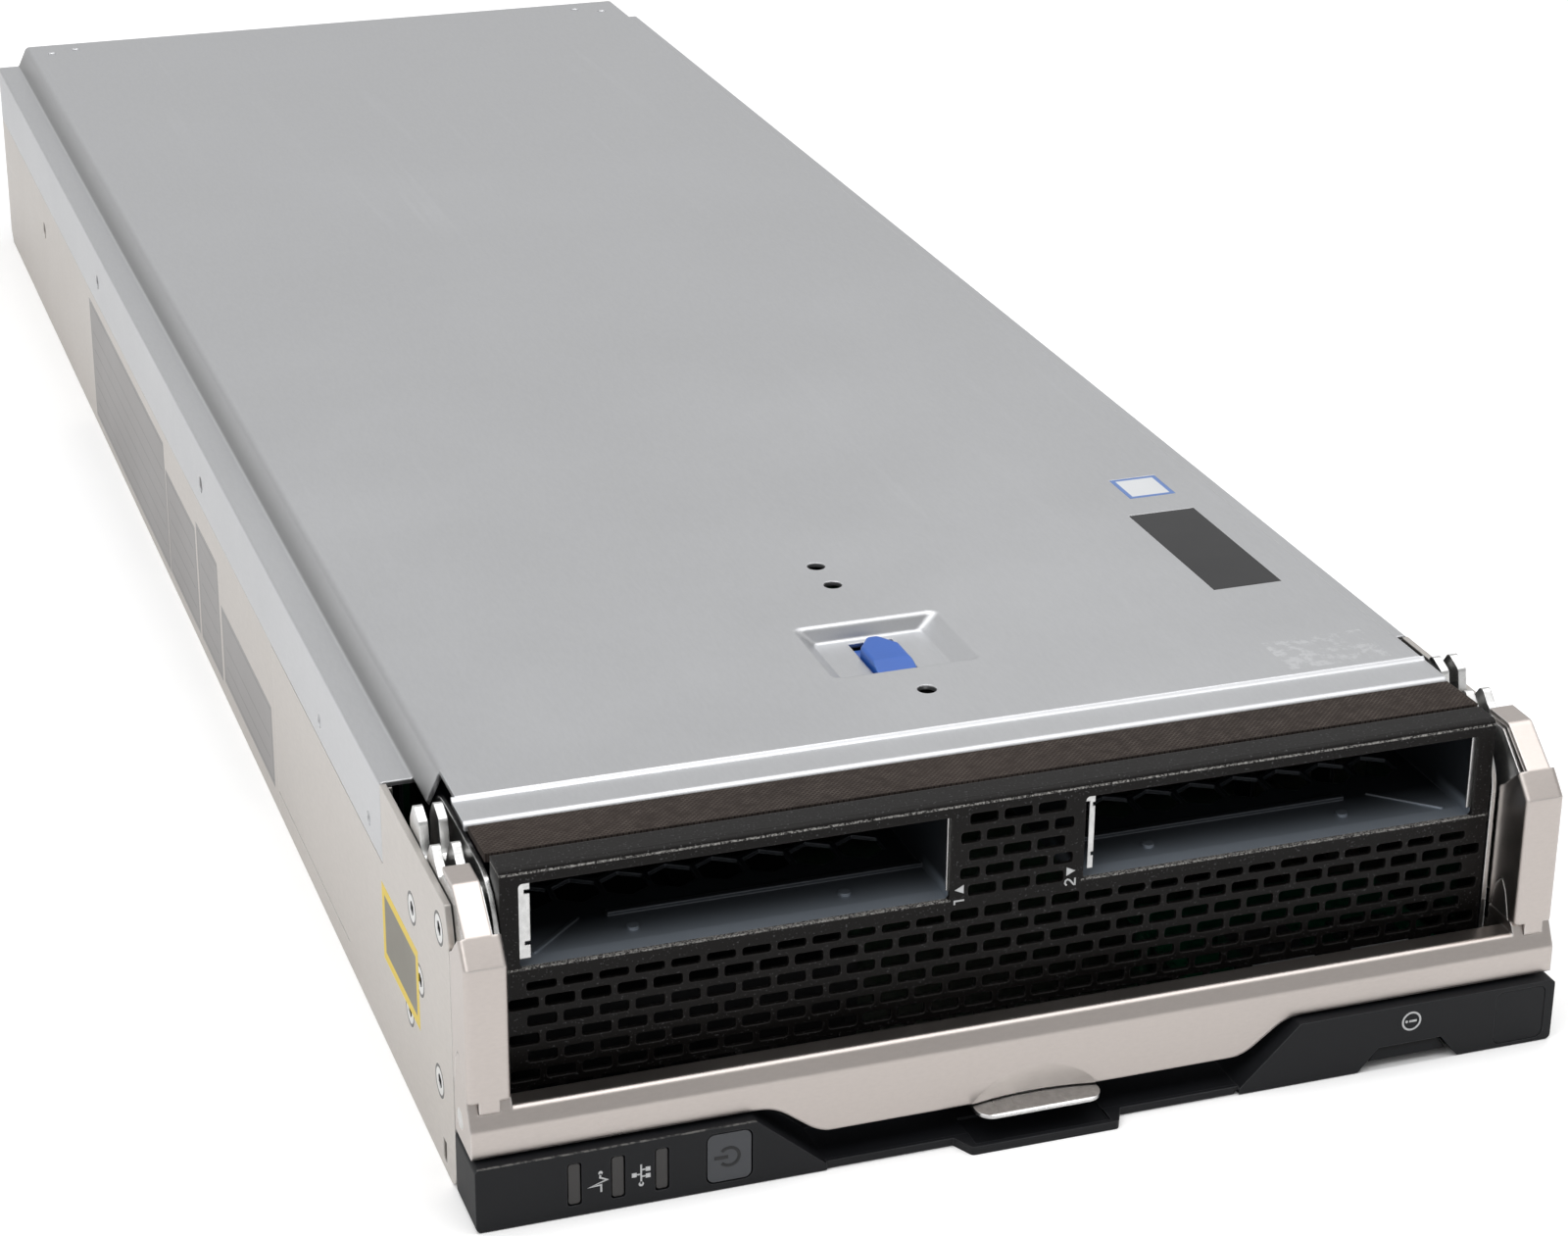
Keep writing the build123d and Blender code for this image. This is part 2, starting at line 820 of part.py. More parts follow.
def make_bar():
    face = depth(bar_face)
    slope_share = (bar_ledge_z - bar_crease_z) / (bar_top_z - bar_crease_z)
    ledge_front = bar_face + (bar_shoulder_depth - bar_face) * slope_share
    bar = bar_length(-bar_ledge_half, bar_ledge_half, ledge_front, bar_ledge_rear, bar_ledge_z)
    bar += left_and_right(bar_length(bar_ledge_half, half_width, bar_shoulder_depth, bar_back, bar_top_z))
    low_edge = (
        (-half_width - overrun, bar_end_z), (-bar_slope_half, bar_end_z), (-bar_mid_half, bar_mid_z),
        (bar_mid_half, bar_mid_z), (bar_slope_half, bar_end_z), (half_width + overrun, bar_end_z),
        (half_width + overrun, bar_top_z + overrun), (-half_width - overrun, bar_top_z + overrun),
    )
    bar &= prism_y(
        low_edge, face - overrun, depth(bar_back) + overrun,
        [0.0, bar_slope_rounding, bar_slope_rounding, bar_slope_rounding, bar_slope_rounding, 0.0, 0.0, 0.0],
    )
    end = prism_x(
        behind((
            (bar_face + bar_rounding, bar_end_z), (bar_back, bar_end_z + seat_gap), (bar_back, bar_top_z),
            (bar_shoulder_depth, bar_top_z), (bar_face + bar_rounding, bar_crease_z),
        )),
        half_width - bar_end_sheet, half_width,
    )
    ear = prism_x(behind(ear_points), half_width - bar_end_sheet, half_width, ear_rounding)
    inner_ear = prism_x(behind(ear_points), arm_inner, arm_inner + bar_end_sheet, ear_rounding)
    bar += left_and_right(end + ear) + left_and_right(inner_ear)
    slot = block(
        arm_tab_inner - seat_gap, arm_tab_outer + seat_gap, face - overrun,
        depth(arm_face) + arm_sheet + seat_gap, arm_tab_z - seat_gap, bar_top_z + overrun,
    )
    bar -= left_and_right(slot)
    rise = scoop_top_z - bar_mid_z
    circle = (scoop_half ** 2 + rise ** 2) / (rise + rise)
    bar -= Pos(0, face - (scoop_radius ** 2 - circle ** 2) ** 0.5, scoop_top_z - circle) * Sphere(scoop_radius)
    rivet = rod_x(depth(rivet_depth), rivet_z, rivet_r, half_width - bar_end_sheet - overrun, half_width + overrun)
    return bar - left_and_right(rivet)


parts["handle_bar"] = make_bar()

# Rivets that tie the bar's ears to the arms
handle_rivet = rod_x(depth(rivet_depth), rivet_z, rivet_r, half_width - bar_end_sheet, half_width)
parts["handle_rivets"] = left_and_right(handle_rivet)


# Release lip: a small lever under the bar, on a pin between two lugs
def make_lip():
    lip = prism_x(behind(lip_points), -lip_half, lip_half)
    hub = rod_x(depth(lip_pivot_depth), lip_pivot_z, lip_hub_r, -lip_half, lip_half)
    bore = rod_x(
        depth(lip_pivot_depth), lip_pivot_z, lip_pin_r + pin_clearance, -lip_half - overrun, lip_half + overrun
    )
    rear = depth(lip_pivot_depth + lip_hub_r) + overrun
    trim = prism_z(
        corners(-lip_half, lip_half, depth(-lip_reach), rear), 0, bar_top_z, [lip_corner, lip_corner, 0.0, 0.0]
    )
    return (lip + hub - bore) & trim


parts["release_lip"] = make_lip()
parts["release_lip_pin"] = rod_x(depth(lip_pivot_depth), lip_pivot_z, lip_pin_r, -lip_lug_half, lip_lug_half)


# Lugs behind the bar that carry the lip's pin
def make_lip_lugs():
    lug = prism_x(
        corners(
            depth(bar_face + bar_sheet), depth(lip_pivot_depth + lip_hub_r), lip_lug_low_z, lip_pivot_z + lip_hub_r
        ),
        lip_lug_half - lip_lug_sheet, lip_lug_half, [0.0, lip_lug_corner, lip_lug_corner, 0.0],
    )
    lug -= rod_x(
        depth(lip_pivot_depth), lip_pivot_z, lip_pin_r, lip_lug_half - lip_lug_sheet - overrun, lip_lug_half + overrun
    )
    return left_and_right(lug)


parts["release_lip_lugs"] = make_lip_lugs()


# Access panel: one sheet with a lowered front lip, joggled sides and a sunk pocket for its latch
def frustum(margin, z_low, z_high):
    """The latch recess between two levels, with its sloping sides, grown by a margin."""
    faces = []
    for z in (z_high, z_low):
        fallen = (cover_top_z - z) / recess_drop
        half = recess_half - (recess_half - recess_floor_half) * fallen + margin
        front = depth(recess_front + recess_front_run * fallen - margin)
        rear = depth(recess_rear - recess_rear_run * fallen + margin)
        ring = [(x, y, z) for x, y in corners(-half, half, front, rear)]
        faces.append(make_face(loop(ring, recess_corner + margin)))
    return loft(faces)


def at_recess_rim(edge):
    """Whether an edge lies on the panel's face, around the latch recess."""
    place = edge.center()
    on_face = abs(place.Z - cover_top_z) < seat_gap and abs(place.X) < recess_half + seat_gap
    return on_face and depth(recess_front) - seat_gap < place.Y < depth(recess_rear) + seat_gap


def make_access_panel():
    inner_z = cover_top_z - cover_sheet
    ledge_low = cover_ledge_z - cover_sheet
    flange_inner = half_width - cover_sheet
    half = [
        (cover_top_half, cover_top_z), (cover_joggle_half, cover_ledge_z), (half_width, cover_ledge_z),
        (half_width, cover_flange_z), (flange_inner, cover_flange_z), (flange_inner, ledge_low),
        (cover_joggle_inner_low, ledge_low), (cover_joggle_inner_high, inner_z),
    ]
    bends = [cover_bend + cover_bend, cover_bend, cover_bend, 0.0, 0.0, 0.0, 0.0, 0.0]
    full = half + [(-x, z) for x, z in reversed(half)]
    cover = prism_y(full, depth(cover_ledge_front), rear_y, bends + list(reversed(bends)))
    slope = [
        (cover_top_half, cover_top_z), (cover_joggle_half, cover_ledge_z), (cover_joggle_inner_low, ledge_low),
        (cover_joggle_inner_high, inner_z),
    ]
    slope_bends = [cover_bend + cover_bend, 0.0, 0.0, 0.0]
    cover += prism_y(
        slope + [(-x, z) for x, z in reversed(slope)], depth(cover_joggle_front), depth(cover_ledge_front),
        slope_bends + list(reversed(slope_bends)),
    )
    cover += block(
        -cover_top_half, cover_top_half, depth(cover_fold), depth(cover_joggle_front), inner_z, cover_top_z
    )
    lip_top = cover_top_z - cover_lip_drop
    lip_low = lip_top - cover_sheet
    cover += prism_x(
        behind((
            (cover_front, cover_curl_z), (cover_front + cover_sheet, cover_curl_z),
            (cover_front + cover_sheet, lip_low), (cover_fold - cover_lip_drop, lip_low), (cover_fold, inner_z),
            (cover_fold, cover_top_z),
            (cover_fold - cover_lip_drop, lip_top), (cover_front, lip_top),
        )),
        -cover_lip_half, cover_lip_half, [0.0, 0.0, 0.0, 0.0, 0.0, 0.0, cover_bend, cover_lip_rounding],
    )
    cover += block(-cover_joggle_inner_high, cover_joggle_inner_high, rear_y - cover_sheet, rear_y,
                   inner_z - cover_rear_lip, inner_z)
    for d in cover_hole_depths:
        cover -= rod_z(0, depth(d), cover_hole_r, inner_z - overrun, cover_top_z + overrun)
    for d, z in flange_hole_places:
        cover -= left_and_right(rod_x(depth(d), z, flange_hole_r, flange_inner - overrun, half_width + overrun))
    for d, z in flange_dimple_places:
        cover -= left_and_right(rod_x(depth(d), z, dimple_r, half_width - dimple_depth, half_width + overrun))
    for x, d in rear_dimple_places:
        cover -= rod_z(x, depth(d), dimple_r, cover_top_z - dimple_depth, cover_top_z + overrun)
    floor_z = cover_top_z - recess_drop
    cover += frustum(cover_sheet, floor_z - cover_sheet, cover_top_z)
    pocket = frustum(0.0, floor_z, cover_top_z + overrun)
    cover -= fillet(pocket.faces().sort_by(Axis.Z)[0].edges(), recess_floor_bend)
    cover = fillet(cover.edges().filter_by(at_recess_rim), recess_shoulder_bend)
    cover -= block(
        -window_half, window_half, depth(window_front), depth(window_rear), floor_z - cover_sheet - overrun,
        cover_top_z,
    )
    return cover - top_label_blocks()


def top_label_blocks():
    return [
        block(x0, x1, depth(d0), depth(d1), cover_top_z - label_sheet, cover_top_z) for x0, x1, d0, d1 in top_labels
    ]


parts["access_panel"] = make_access_panel()
parts["top_label_long"], parts["top_label_short"] = top_label_blocks()
parts["side_labels"] = [side_label(place) for place in side_labels]
parts["caution_label"] = side_label(caution_label)


# Latch housing under the recess
def make_housing():
    top = cover_top_z - recess_drop - cover_sheet
    low = top - housing_height
    box = block(-housing_half, housing_half, depth(housing_front), depth(housing_rear), low, top)
    return box - block(
        housing_wall - housing_half, housing_half - housing_wall, depth(housing_front) + housing_wall,
        depth(housing_rear) - housing_wall, low + housing_wall, top + overrun,
    )


parts["latch_housing"] = make_housing()


# Latch button: a house-shaped key with a sloping nose, a stop flange and a tail
def behind_slope(edge):
    return edge.center().Y > depth(button_front + button_slope) + seat_gap


def make_button():
    floor_low = cover_top_z - recess_drop - cover_sheet
    flange_top = floor_low - seat_gap
    key = prism_z(
        (
            (-button_half, depth(button_front)), (button_half, depth(button_front)),
            (button_half, depth(button_shoulder)), (button_tip_half, depth(button_rear)),
            (-button_tip_half, depth(button_rear)), (-button_half, depth(button_shoulder)),
        ),
        flange_top - button_flange_sheet, button_top_z, button_corner,
    )
    slope_end = button_front + button_slope
    key -= prism_x(
        behind((
            (button_front - overrun, button_nose_z), (button_front, button_nose_z), (slope_end, button_top_z),
            (slope_end, button_top_z + overrun), (button_front - overrun, button_top_z + overrun),
        )),
        -button_half - overrun, button_half + overrun,
    )
    key = fillet(key.faces().sort_by(Axis.Z)[-1].edges().filter_by(behind_slope), button_edge_rounding)
    key += block(
        -button_half - button_flange, button_half + button_flange, depth(button_front), depth(button_rear),
        flange_top - button_flange_sheet, flange_top,
    )
    key += block(
        -button_tail_half, button_tail_half, depth(button_tail_front), depth(button_tail_rear), button_tail_z,
        flange_top - button_flange_sheet,
    )
    return key


parts["panel_button"] = make_button()

# Foam strip between the bezel's top lip and the access panel
parts["gasket_strip"] = prism_x(
    (
        (depth(gasket_front), gasket_low_z), (depth(gasket_rear), gasket_low_z), (depth(gasket_rear), gasket_rear_z),
        (depth(gasket_front), gasket_front_z),
    ),
    -gasket_half, gasket_half,
)

bays = ((-bay_outer, -bay_inner_left), (bay_inner_right, bay_outer))
ports = ((usb_left, usb_width), (service_left, service_width))


# Bezel: a sheet with rows of slots, two bay openings, a top lip and folded ends
def slot_row(shift, limit):
    """Left and right ends of the slots in a row, cut off at the limit."""
    ends = []
    columns = int(bezel_half / slot_pitch) + 1
    for n in range(-columns, columns + 1):
        x = n * slot_pitch + shift
        left = max(x - slot_width / 2, -limit)
        right = min(x + slot_width / 2, limit)
        if right - left > slot_width / 2:
            ends.append((left, right))
    return ends


def clear_of_ports(left, right, low):
    over = low > service_board_z + small_board_sheet + port_height + slot_edge
    beside = [right < start - slot_edge or left > start + width + slot_edge for start, width in ports]
    return over or all(beside)


def slot_openings():
    openings = []
    for row in range(slot_rows):
        low = slot_first_z - row * slot_row_pitch - slot_height / 2
        for left, right in slot_row(slot_pitch / 2 * (1 - row % 2), bezel_half - slot_edge):
            under_bay = row == 0 and max(-left, right) > bay_inner_left
            high = low + (slot_short_height if under_bay else slot_height)
            if clear_of_ports(left, right, low):
                openings.append((corners(left, right, low, high), slot_corner))
    for row in range(center_rows):
        low = center_first_z + row * slot_row_pitch - slot_height / 2
        for left, right in slot_row(slot_pitch / 2 * (row % 2), center_half):
            openings.append((corners(left, right, low, low + slot_height), slot_corner))
    return openings


def make_bezel():
    openings = slot_openings()
    for left, right in bays:
        openings.append((corners(left, right, bay_low_z, bay_high_z), bay_corner))
    front = depth(bezel_depth)
    rim = corners(-bezel_half, bezel_half, bezel_low_z, bezel_top_z)
    bezel = wall_with_openings(rim, openings, front, front + bezel_sheet)
    bezel += block(-bezel_half, bezel_half, front, depth(bezel_lip_rear), bezel_top_z - bezel_sheet, bezel_top_z)
    end = block(bezel_half - bezel_sheet, bezel_half, front, depth(bezel_lip_rear), bezel_low_z, bezel_top_z)
    bezel += left_and_right(end)
    port_low = service_board_z + small_board_sheet
    for left, width in ports:
        bezel -= block(
            left - slip_gap, left + width + slip_gap, front - overrun, front + bezel_sheet + overrun,
            bezel_low_z - overrun, port_low + port_height + slip_gap,
        )
    bend_z = bezel_top_z - bezel_rounding
    reach = bezel_half + overrun
    corner = block(-reach, reach, front - overrun, front + bezel_rounding, bend_z, bezel_top_z + overrun)
    return bezel - (corner - rod_x(front + bezel_rounding, bend_z, bezel_rounding, -reach, reach))


parts["bezel"] = make_bezel()


# Bright strips at the ends of the bay openings, notched at the left ends
def make_strips():
    front = depth(bezel_depth) + bezel_sheet
    rear = front + strip_sheet
    strips = []
    for (left, right), (inset, width, thin) in zip(bays, strip_sizes):
        edge = left + inset + width
        strip = block(left + inset, edge, front, rear, strip_low_z, strip_high_z)
        strip += block(left, edge, front, rear, strip_high_z - strip_head, strip_high_z)
        for z in strip_notch_zs:
            strip -= block(
                edge - strip_notch_share * width, edge + overrun, front - overrun, rear + overrun,
                z - strip_notch_height / 2, z + strip_notch_height / 2,
            )
        strips += [strip, block(right - thin, right, front, rear, strip_low_z, strip_high_z)]
    return strips


parts["bay_edge_strips"] = make_strips()


# Drive cage: two sheet boxes with pierced floors, on four legs
def cage_floor(left, right):
    front = depth(bezel_depth) + bezel_sheet + cage_slope_run
    rear = depth(backplane_depth)
    low = bay_low_z - cage_sheet
    rim = loop([(x, y, low) for x, y in corners(left - cage_sheet, right + cage_sheet, front, rear)], 0.0)
    middle = (left + right) / 2
    radius = hex_across / 3 ** 0.5
    holes = []
    for row in range(hex_rows):
        y = depth(hex_first_depth) + row * hex_pitch * 3 ** 0.5 / 2
        columns = hex_columns - row % 2
        for x in spread(columns, hex_pitch):
            hexagon = RegularPolygon(radius, 6, rotation=30)
            holes.append((Pos(middle + x, y, low) * hexagon).wire())
    return extrude(Face(rim, holes), amount=cage_sheet, dir=(0, 0, 1))


def make_cage():
    front = depth(bezel_depth) + bezel_sheet
    rear = depth(backplane_depth)
    high = bay_high_z + cage_sheet
    cage = []
    fold = front + cage_slope_run
    low = bay_low_z - cage_sheet
    for (left, right), side in zip(bays, (-1, 1)):
        pieces = [cage_floor(left, right)]
        pieces.append(prism_x(
            ((front, low - cage_slope_drop), (fold, low), (fold, bay_low_z), (front, bay_low_z - cage_slope_drop)),
            left, right,
        ))
        pieces.append(block(left - cage_sheet, right + cage_sheet, front, rear, bay_high_z, high))
        pieces.append(block(left - cage_sheet, left, front, rear, low, high))
        pieces.append(block(right, right + cage_sheet, front, rear, low, high))
        for x in stud_xs:
            pieces.append(rod_z(side * x, depth(stud_depth), stud_r, bay_low_z, bay_low_z + stud_height))
        pieces.append(block(
            side * ridge_outer_x, left if side > 0 else right, depth(ridge_depth), depth(ridge_depth) + ridge_width,
            bay_low_z, bay_low_z + ridge_height,
        ))
        crease = [(side * (bay_outer - x), depth(d)) for x, d in crease_points]
        pieces.append(prism_z(crease, bay_low_z, bay_low_z + crease_height))
        box = pieces[0]
        box += pieces[1:]
        cage.append(box)
    legs = []
    for d in cage_leg_depths:
        leg = block(bay_outer, bay_outer + cage_sheet, depth(d), depth(d) + cage_leg_width, tray_sheet, bay_low_z)
        legs += left_and_right(leg)
    notch = block(
        -recess_half - cage_notch_gap, recess_half + cage_notch_gap, depth(recess_front - cage_notch_gap),
        depth(recess_rear + cage_notch_gap), cover_top_z - recess_drop - cover_sheet - slip_gap, high + overrun,
    )
    bridge = block(-bay_inner_left, bay_inner_right, depth(cage_bridge_front), rear, low, bay_low_z)
    return cage[0] + cage[1] + bridge + legs - notch


parts["drive_cage"] = make_cage()


# Backplane behind the bays, with the plugs the drives push onto
def make_backplane():
    openings = [
        (
            corners(
                x - backplane_window_half, x + backplane_window_half, backplane_window_low_z, backplane_window_high_z
            ),
            backplane_window_corner,
        )
        for x in backplane_window_xs
    ]
    rim = corners(-backplane_half, backplane_half, backplane_low_z, bay_high_z)
    return wall_with_openings(rim, openings, depth(backplane_depth), depth(backplane_depth) + backplane_sheet)


parts["drive_backplane"] = make_backplane()


def make_drive_plugs():
    rear = depth(backplane_depth)
    low = drive_plug_z - drive_plug_half_height
    high = drive_plug_z + drive_plug_half_height
    plugs = []
    for left, right in bays:
        x = (left + right) / 2
        plug = block(x - drive_plug_half, x + drive_plug_half, rear - drive_plug_length, rear, low, high)
        plug -= block(
            x - drive_plug_half + drive_plug_wall, x + drive_plug_half - drive_plug_wall,
            rear - drive_plug_length - overrun, rear - drive_plug_wall, drive_plug_z, high - drive_plug_wall,
        )
        plugs.append(plug)
    front = rear + backplane_sheet
    board_top = board_z + board_sheet
    plugs.append(block(-riser_half, riser_half, front, front + riser_length, board_top, board_top + riser_height))
    return plugs


parts["drive_connectors"] = make_drive_plugs()


# Lower front panel: a moulding, hollow from behind, with a finger pocket in its middle
def panel_hollow(low, top, side):
    floor_z = panel_bottom_z + panel_floor
    roof_z = panel_top_z - panel_floor
    run = (top - low) * (roof_z - floor_z) / (panel_top_z - floor_z)
    outer = half_width - panel_wall
    points = [
        (low + panel_slope_wall, floor_z), (outer, floor_z), (outer, roof_z), (low + run + panel_slope_wall, roof_z),
    ]
    return prism_y([(side * x, z) for x, z in points], depth(panel_wall), depth(panel_back) + overrun)


def make_front_panel():
    floor_z = panel_bottom_z + panel_floor
    front = depth(0) - overrun
    through = depth(panel_wall) + overrun
    panel = prism_y(
        (
            (-half_width, panel_bottom_z), (half_width, panel_bottom_z), (half_width, panel_top_z),
            (panel_right_top, panel_top_z), (panel_right_low, floor_z), (-panel_left_low, floor_z),
            (-panel_left_top, panel_top_z), (-half_width, panel_top_z),
        ),
        depth(0), depth(panel_back),
        [panel_corner, panel_corner, panel_corner, panel_corner, 0.0, 0.0, panel_corner, panel_corner],
    )
    panel -= panel_hollow(panel_left_low, panel_left_top, -1)
    panel -= panel_hollow(panel_right_low, panel_right_top, 1)
    panel -= block(-panel_left_low, panel_right_low, front, depth(band_rim_depth), 0, floor_z + overrun)
    panel += block(
        -panel_left_low, panel_right_low, depth(band_rim_depth), depth(band_rim_depth) + band_rim_width,
        panel_bottom_z, pocket_rim_z,
    )
    panel += block(-panel_left_top, panel_right_top, depth(band_wall_depth), depth(panel_back), floor_z, panel_top_z)
    root = depth(band_rim_depth) + band_rim_width
    reach = depth(0) - pocket_reach
    bend = panel_corner
    panel += prism_z(
        ((-pocket_root_half, root), (-pocket_half, reach), (pocket_half, reach), (pocket_root_half, root)),
        0, pocket_rim_z, [0.0, bend, bend, 0.0],
    )
    inner = pocket_half - pocket_wall
    panel -= block(-inner, inner, reach + pocket_wall, depth(pocket_rear), pocket_floor, panel_top_z)
    for left in lens_lefts:
        window = corners(left, left + lens_width, lens_low_z, lens_low_z + lens_height)
        panel -= prism_y(window, front, through, lens_corner)
    hole = corners(
        power_left - slip_gap, power_right + slip_gap, power_low_z - slip_gap, power_high_z + slip_gap
    )
    panel -= prism_y(hole, front, through, power_corner + slip_gap)
    panel -= prism_y(tab_slot_points, front, depth(panel_back) + overrun)
    badge = corners(badge_left, badge_right, badge_low_z, badge_high_z)
    panel -= prism_y(badge, front, depth(badge_sink), badge_corner)
    panel -= block(
        panel_right_low - nick_width, panel_right_low, front, through, 0, panel_bottom_z + nick_height
    )
    return panel


parts["front_panel"] = make_front_panel()

badge_face = corners(
    badge_left + seat_gap, badge_right - seat_gap, badge_low_z + seat_gap, badge_high_z - seat_gap
)
parts["badge_blank"] = prism_y(badge_face, depth(badge_sink - badge_sheet), depth(badge_sink), badge_corner)


# Status lenses with the light pipes moulded behind them
def make_lenses():
    lenses = []
    for left in lens_lefts:
        face = corners(
            left + lens_gap, left + lens_width - lens_gap, lens_low_z + lens_gap, lens_low_z + lens_height - lens_gap
        )
        lens = prism_y(face, depth(lens_sink), depth(panel_wall), lens_corner)
        lens += block(
            left + pipe_inset, left + lens_width - pipe_inset, depth(panel_wall), depth(panel_board_front),
            pipe_low_z, pipe_high_z,
        )
        lenses.append(lens)
    return lenses


parts["status_lenses"] = make_lenses()


# Power button, with a stop flange and a stem that reaches the switch
def make_power_button():
    face = corners(power_left, power_right, power_low_z, power_high_z)
    rear = depth(power_sink + power_thick)
    button = prism_y(face, depth(power_sink), rear, power_corner)
    button += block(
        power_left - power_flange, power_right - power_flange, depth(panel_wall + seat_gap), rear,
        power_low_z + power_flange, power_high_z - power_flange,
    )
    middle = (power_left + power_right) / 2
    return button + rod_y(middle, power_stem_z, power_stem_r, rear - seat_gap, depth(power_stem_rear))


parts["power_button"] = make_power_button()


# Small boards, each on posts from the tray
def small_board(left, right, front, rear, low):
    board = block(left, right, depth(front), depth(rear), low, low + small_board_sheet)
    for x in (left + small_post_inset, right - small_post_inset):
        for d in (front + small_post_inset, rear - small_post_inset):
            board += rod_z(x, depth(d), small_post_r, tray_sheet, low)
    return board


parts["service_board"] = small_board(
    service_board_left, service_board_right, service_board_front, service_board_rear, service_board_z
)

switch_low = panel_board_z + small_board_sheet
switch_middle = (power_left + power_right) / 2
power_switch = block(
    switch_middle - switch_half, switch_middle + switch_half, depth(switch_front), depth(switch_rear), switch_low,
    switch_low + switch_height,
)
panel_board = small_board(panel_board_left, panel_board_right, panel_board_front, panel_board_rear, panel_board_z)
parts["panel_board"] = [panel_board, power_switch]


# Pull-out tab: a grip in the panel's slot and a card behind it, in its guide
def make_pull_tab():
    grip_rear = depth(grip_depth + grip_length)
    grip = prism_y(grip_points, depth(grip_depth), grip_rear)
    return grip + block(card_left, card_right, grip_rear, grip_rear + card_length, card_low_z, card_high_z)


parts["pull_tab"] = make_pull_tab()

guide_outer = block(
    card_left - slip_gap - guide_wall, card_right + slip_gap + guide_wall, depth(guide_front), depth(guide_rear),
    tray_sheet, card_high_z + slip_gap + guide_wall,
)
guide_hollow = block(
    card_left - slip_gap, card_right + slip_gap, depth(guide_front) - overrun, depth(guide_rear) + overrun,
    card_low_z - slip_gap, card_high_z + slip_gap,
)
parts["pull_tab_guide"] = guide_outer - guide_hollow


# Port shells on the service board, each with a tongue inside
def make_port(left, width, length):
    low = service_board_z + small_board_sheet
    high = low + port_height
    front = depth(port_front)
    shell = block(left, left + width, front, front + length, low, high)
    shell -= block(
        left + port_wall, left + width - port_wall, front - overrun, front + length - port_wall, low + port_wall,
        high - port_wall,
    )
    middle = (low + high) / 2
    inset = port_wall + port_tongue
    return shell + block(
        left + inset, left + width - inset, front + port_tongue_sink, front + length - port_wall, middle,
        middle + port_tongue,
    )


parts["usb_port"] = make_port(usb_left, usb_width, usb_length)
parts["service_port"] = make_port(service_left, service_width, service_length)


# Backup battery, a pack with two bands
def make_battery():
    pack = prism_z(
        corners(battery_left, battery_right, depth(battery_front), depth(battery_rear)), tray_sheet,
        tray_sheet + battery_height, battery_corner,
    )
    third = (battery_right - battery_left) / 3
    for x in (battery_left + third, battery_right - third):
        pack += block(
            x - battery_band_width / 2, x + battery_band_width / 2, depth(battery_front), depth(battery_rear),
            tray_sheet + battery_height - battery_band, tray_sheet + battery_height + battery_band,
        )
    return pack


parts["backup_battery"] = make_battery()

board_top = board_z + board_sheet
parts["system_board"] = prism_z(
    corners(-board_half, board_half, depth(board_front), depth(board_rear)), board_z, board_top, board_corner
)
standoff_places = [(x, depth(d)) for x in standoff_xs for d in standoff_depths]
parts["standoffs"] = [rod_z(x, y, standoff_r, tray_sheet, board_z) for x, y in standoff_places]
parts["board_screws"] = [
    rod_z(x, y, board_screw_r, board_top, board_top + board_screw_height) for x, y in standoff_places
]


# Processor sockets, frames around each processor
def make_socket(d):
    y = depth(d)
    frame = block(-socket_half, socket_half, y - socket_half_length, y + socket_half_length, board_top,
                  board_top + socket_height)
    return frame - block(
        -cpu_half - seat_gap, cpu_half + seat_gap, y - cpu_half_length - seat_gap, y + cpu_half_length + seat_gap,
        board_top + cpu_seat, board_top + socket_height + overrun,
    )


parts["cpu_sockets"] = [make_socket(d) for d in cpu_depths]


def make_processor(d):
    y = depth(d)
    low = board_top + cpu_seat
    body = block(-cpu_half, cpu_half, y - cpu_half_length, y + cpu_half_length, low, low + cpu_height)
    return body + block(
        -lid_half, lid_half, y - lid_half_length, y + lid_half_length, low + cpu_height,
        low + cpu_height + lid_height,
    )


parts["processors"] = [make_processor(d) for d in cpu_depths]


# Heat sinks with fins along the airflow and a notch at each corner for the screws
sink_low = board_top + cpu_seat + cpu_height + lid_height


def make_sink(d):
    y = depth(d)
    base_top = sink_low + sink_base_height
    sink = block(-sink_half, sink_half, y - sink_half_length, y + sink_half_length, sink_low, base_top)
    pitch = (sink_half + sink_half - fin_sheet) / (fin_count - 1)
    sink += [
        block(x - fin_sheet / 2, x + fin_sheet / 2, y - sink_half_length, y + sink_half_length, base_top, sink_top_z)
        for x in spread(fin_count, pitch)
    ]
    notches = []
    for x in (-1, 1):
        for side in (-1, 1):
            notches.append(block(
                x * (sink_half - fin_notch), x * (sink_half + overrun), y + side * (sink_half_length - fin_notch),
                y + side * (sink_half_length + overrun), base_top, sink_top_z + overrun,
            ))
    return sink - notches


parts["heatsink_front"] = make_sink(cpu_depths[0])
parts["heatsink_rear"] = make_sink(cpu_depths[1])


# Screws and spacers at the corners of the heat sinks
def make_sink_screws():
    screws = []
    base_top = sink_low + sink_base_height
    for d in cpu_depths:
        for x in (sink_screw_inset - sink_half, sink_half - sink_screw_inset):
            for y in (sink_screw_inset - sink_half_length, sink_half_length - sink_screw_inset):
                screws.append(rod_z(x, depth(d) + y, sink_screw_r, base_top, base_top + sink_screw_height))
                screws.append(rod_z(x, depth(d) + y, sink_screw_r, board_top, sink_low))
    return screws


parts["sink_screws"] = make_sink_screws()


# Memory slots in four banks, each with a latch at both ends
def bank_places():
    places = []
    for d in cpu_depths:
        for n in range(dimm_count):
            x = dimm_first + n * dimm_pitch
            places += [(-x, depth(d)), (x, depth(d))]
    return places


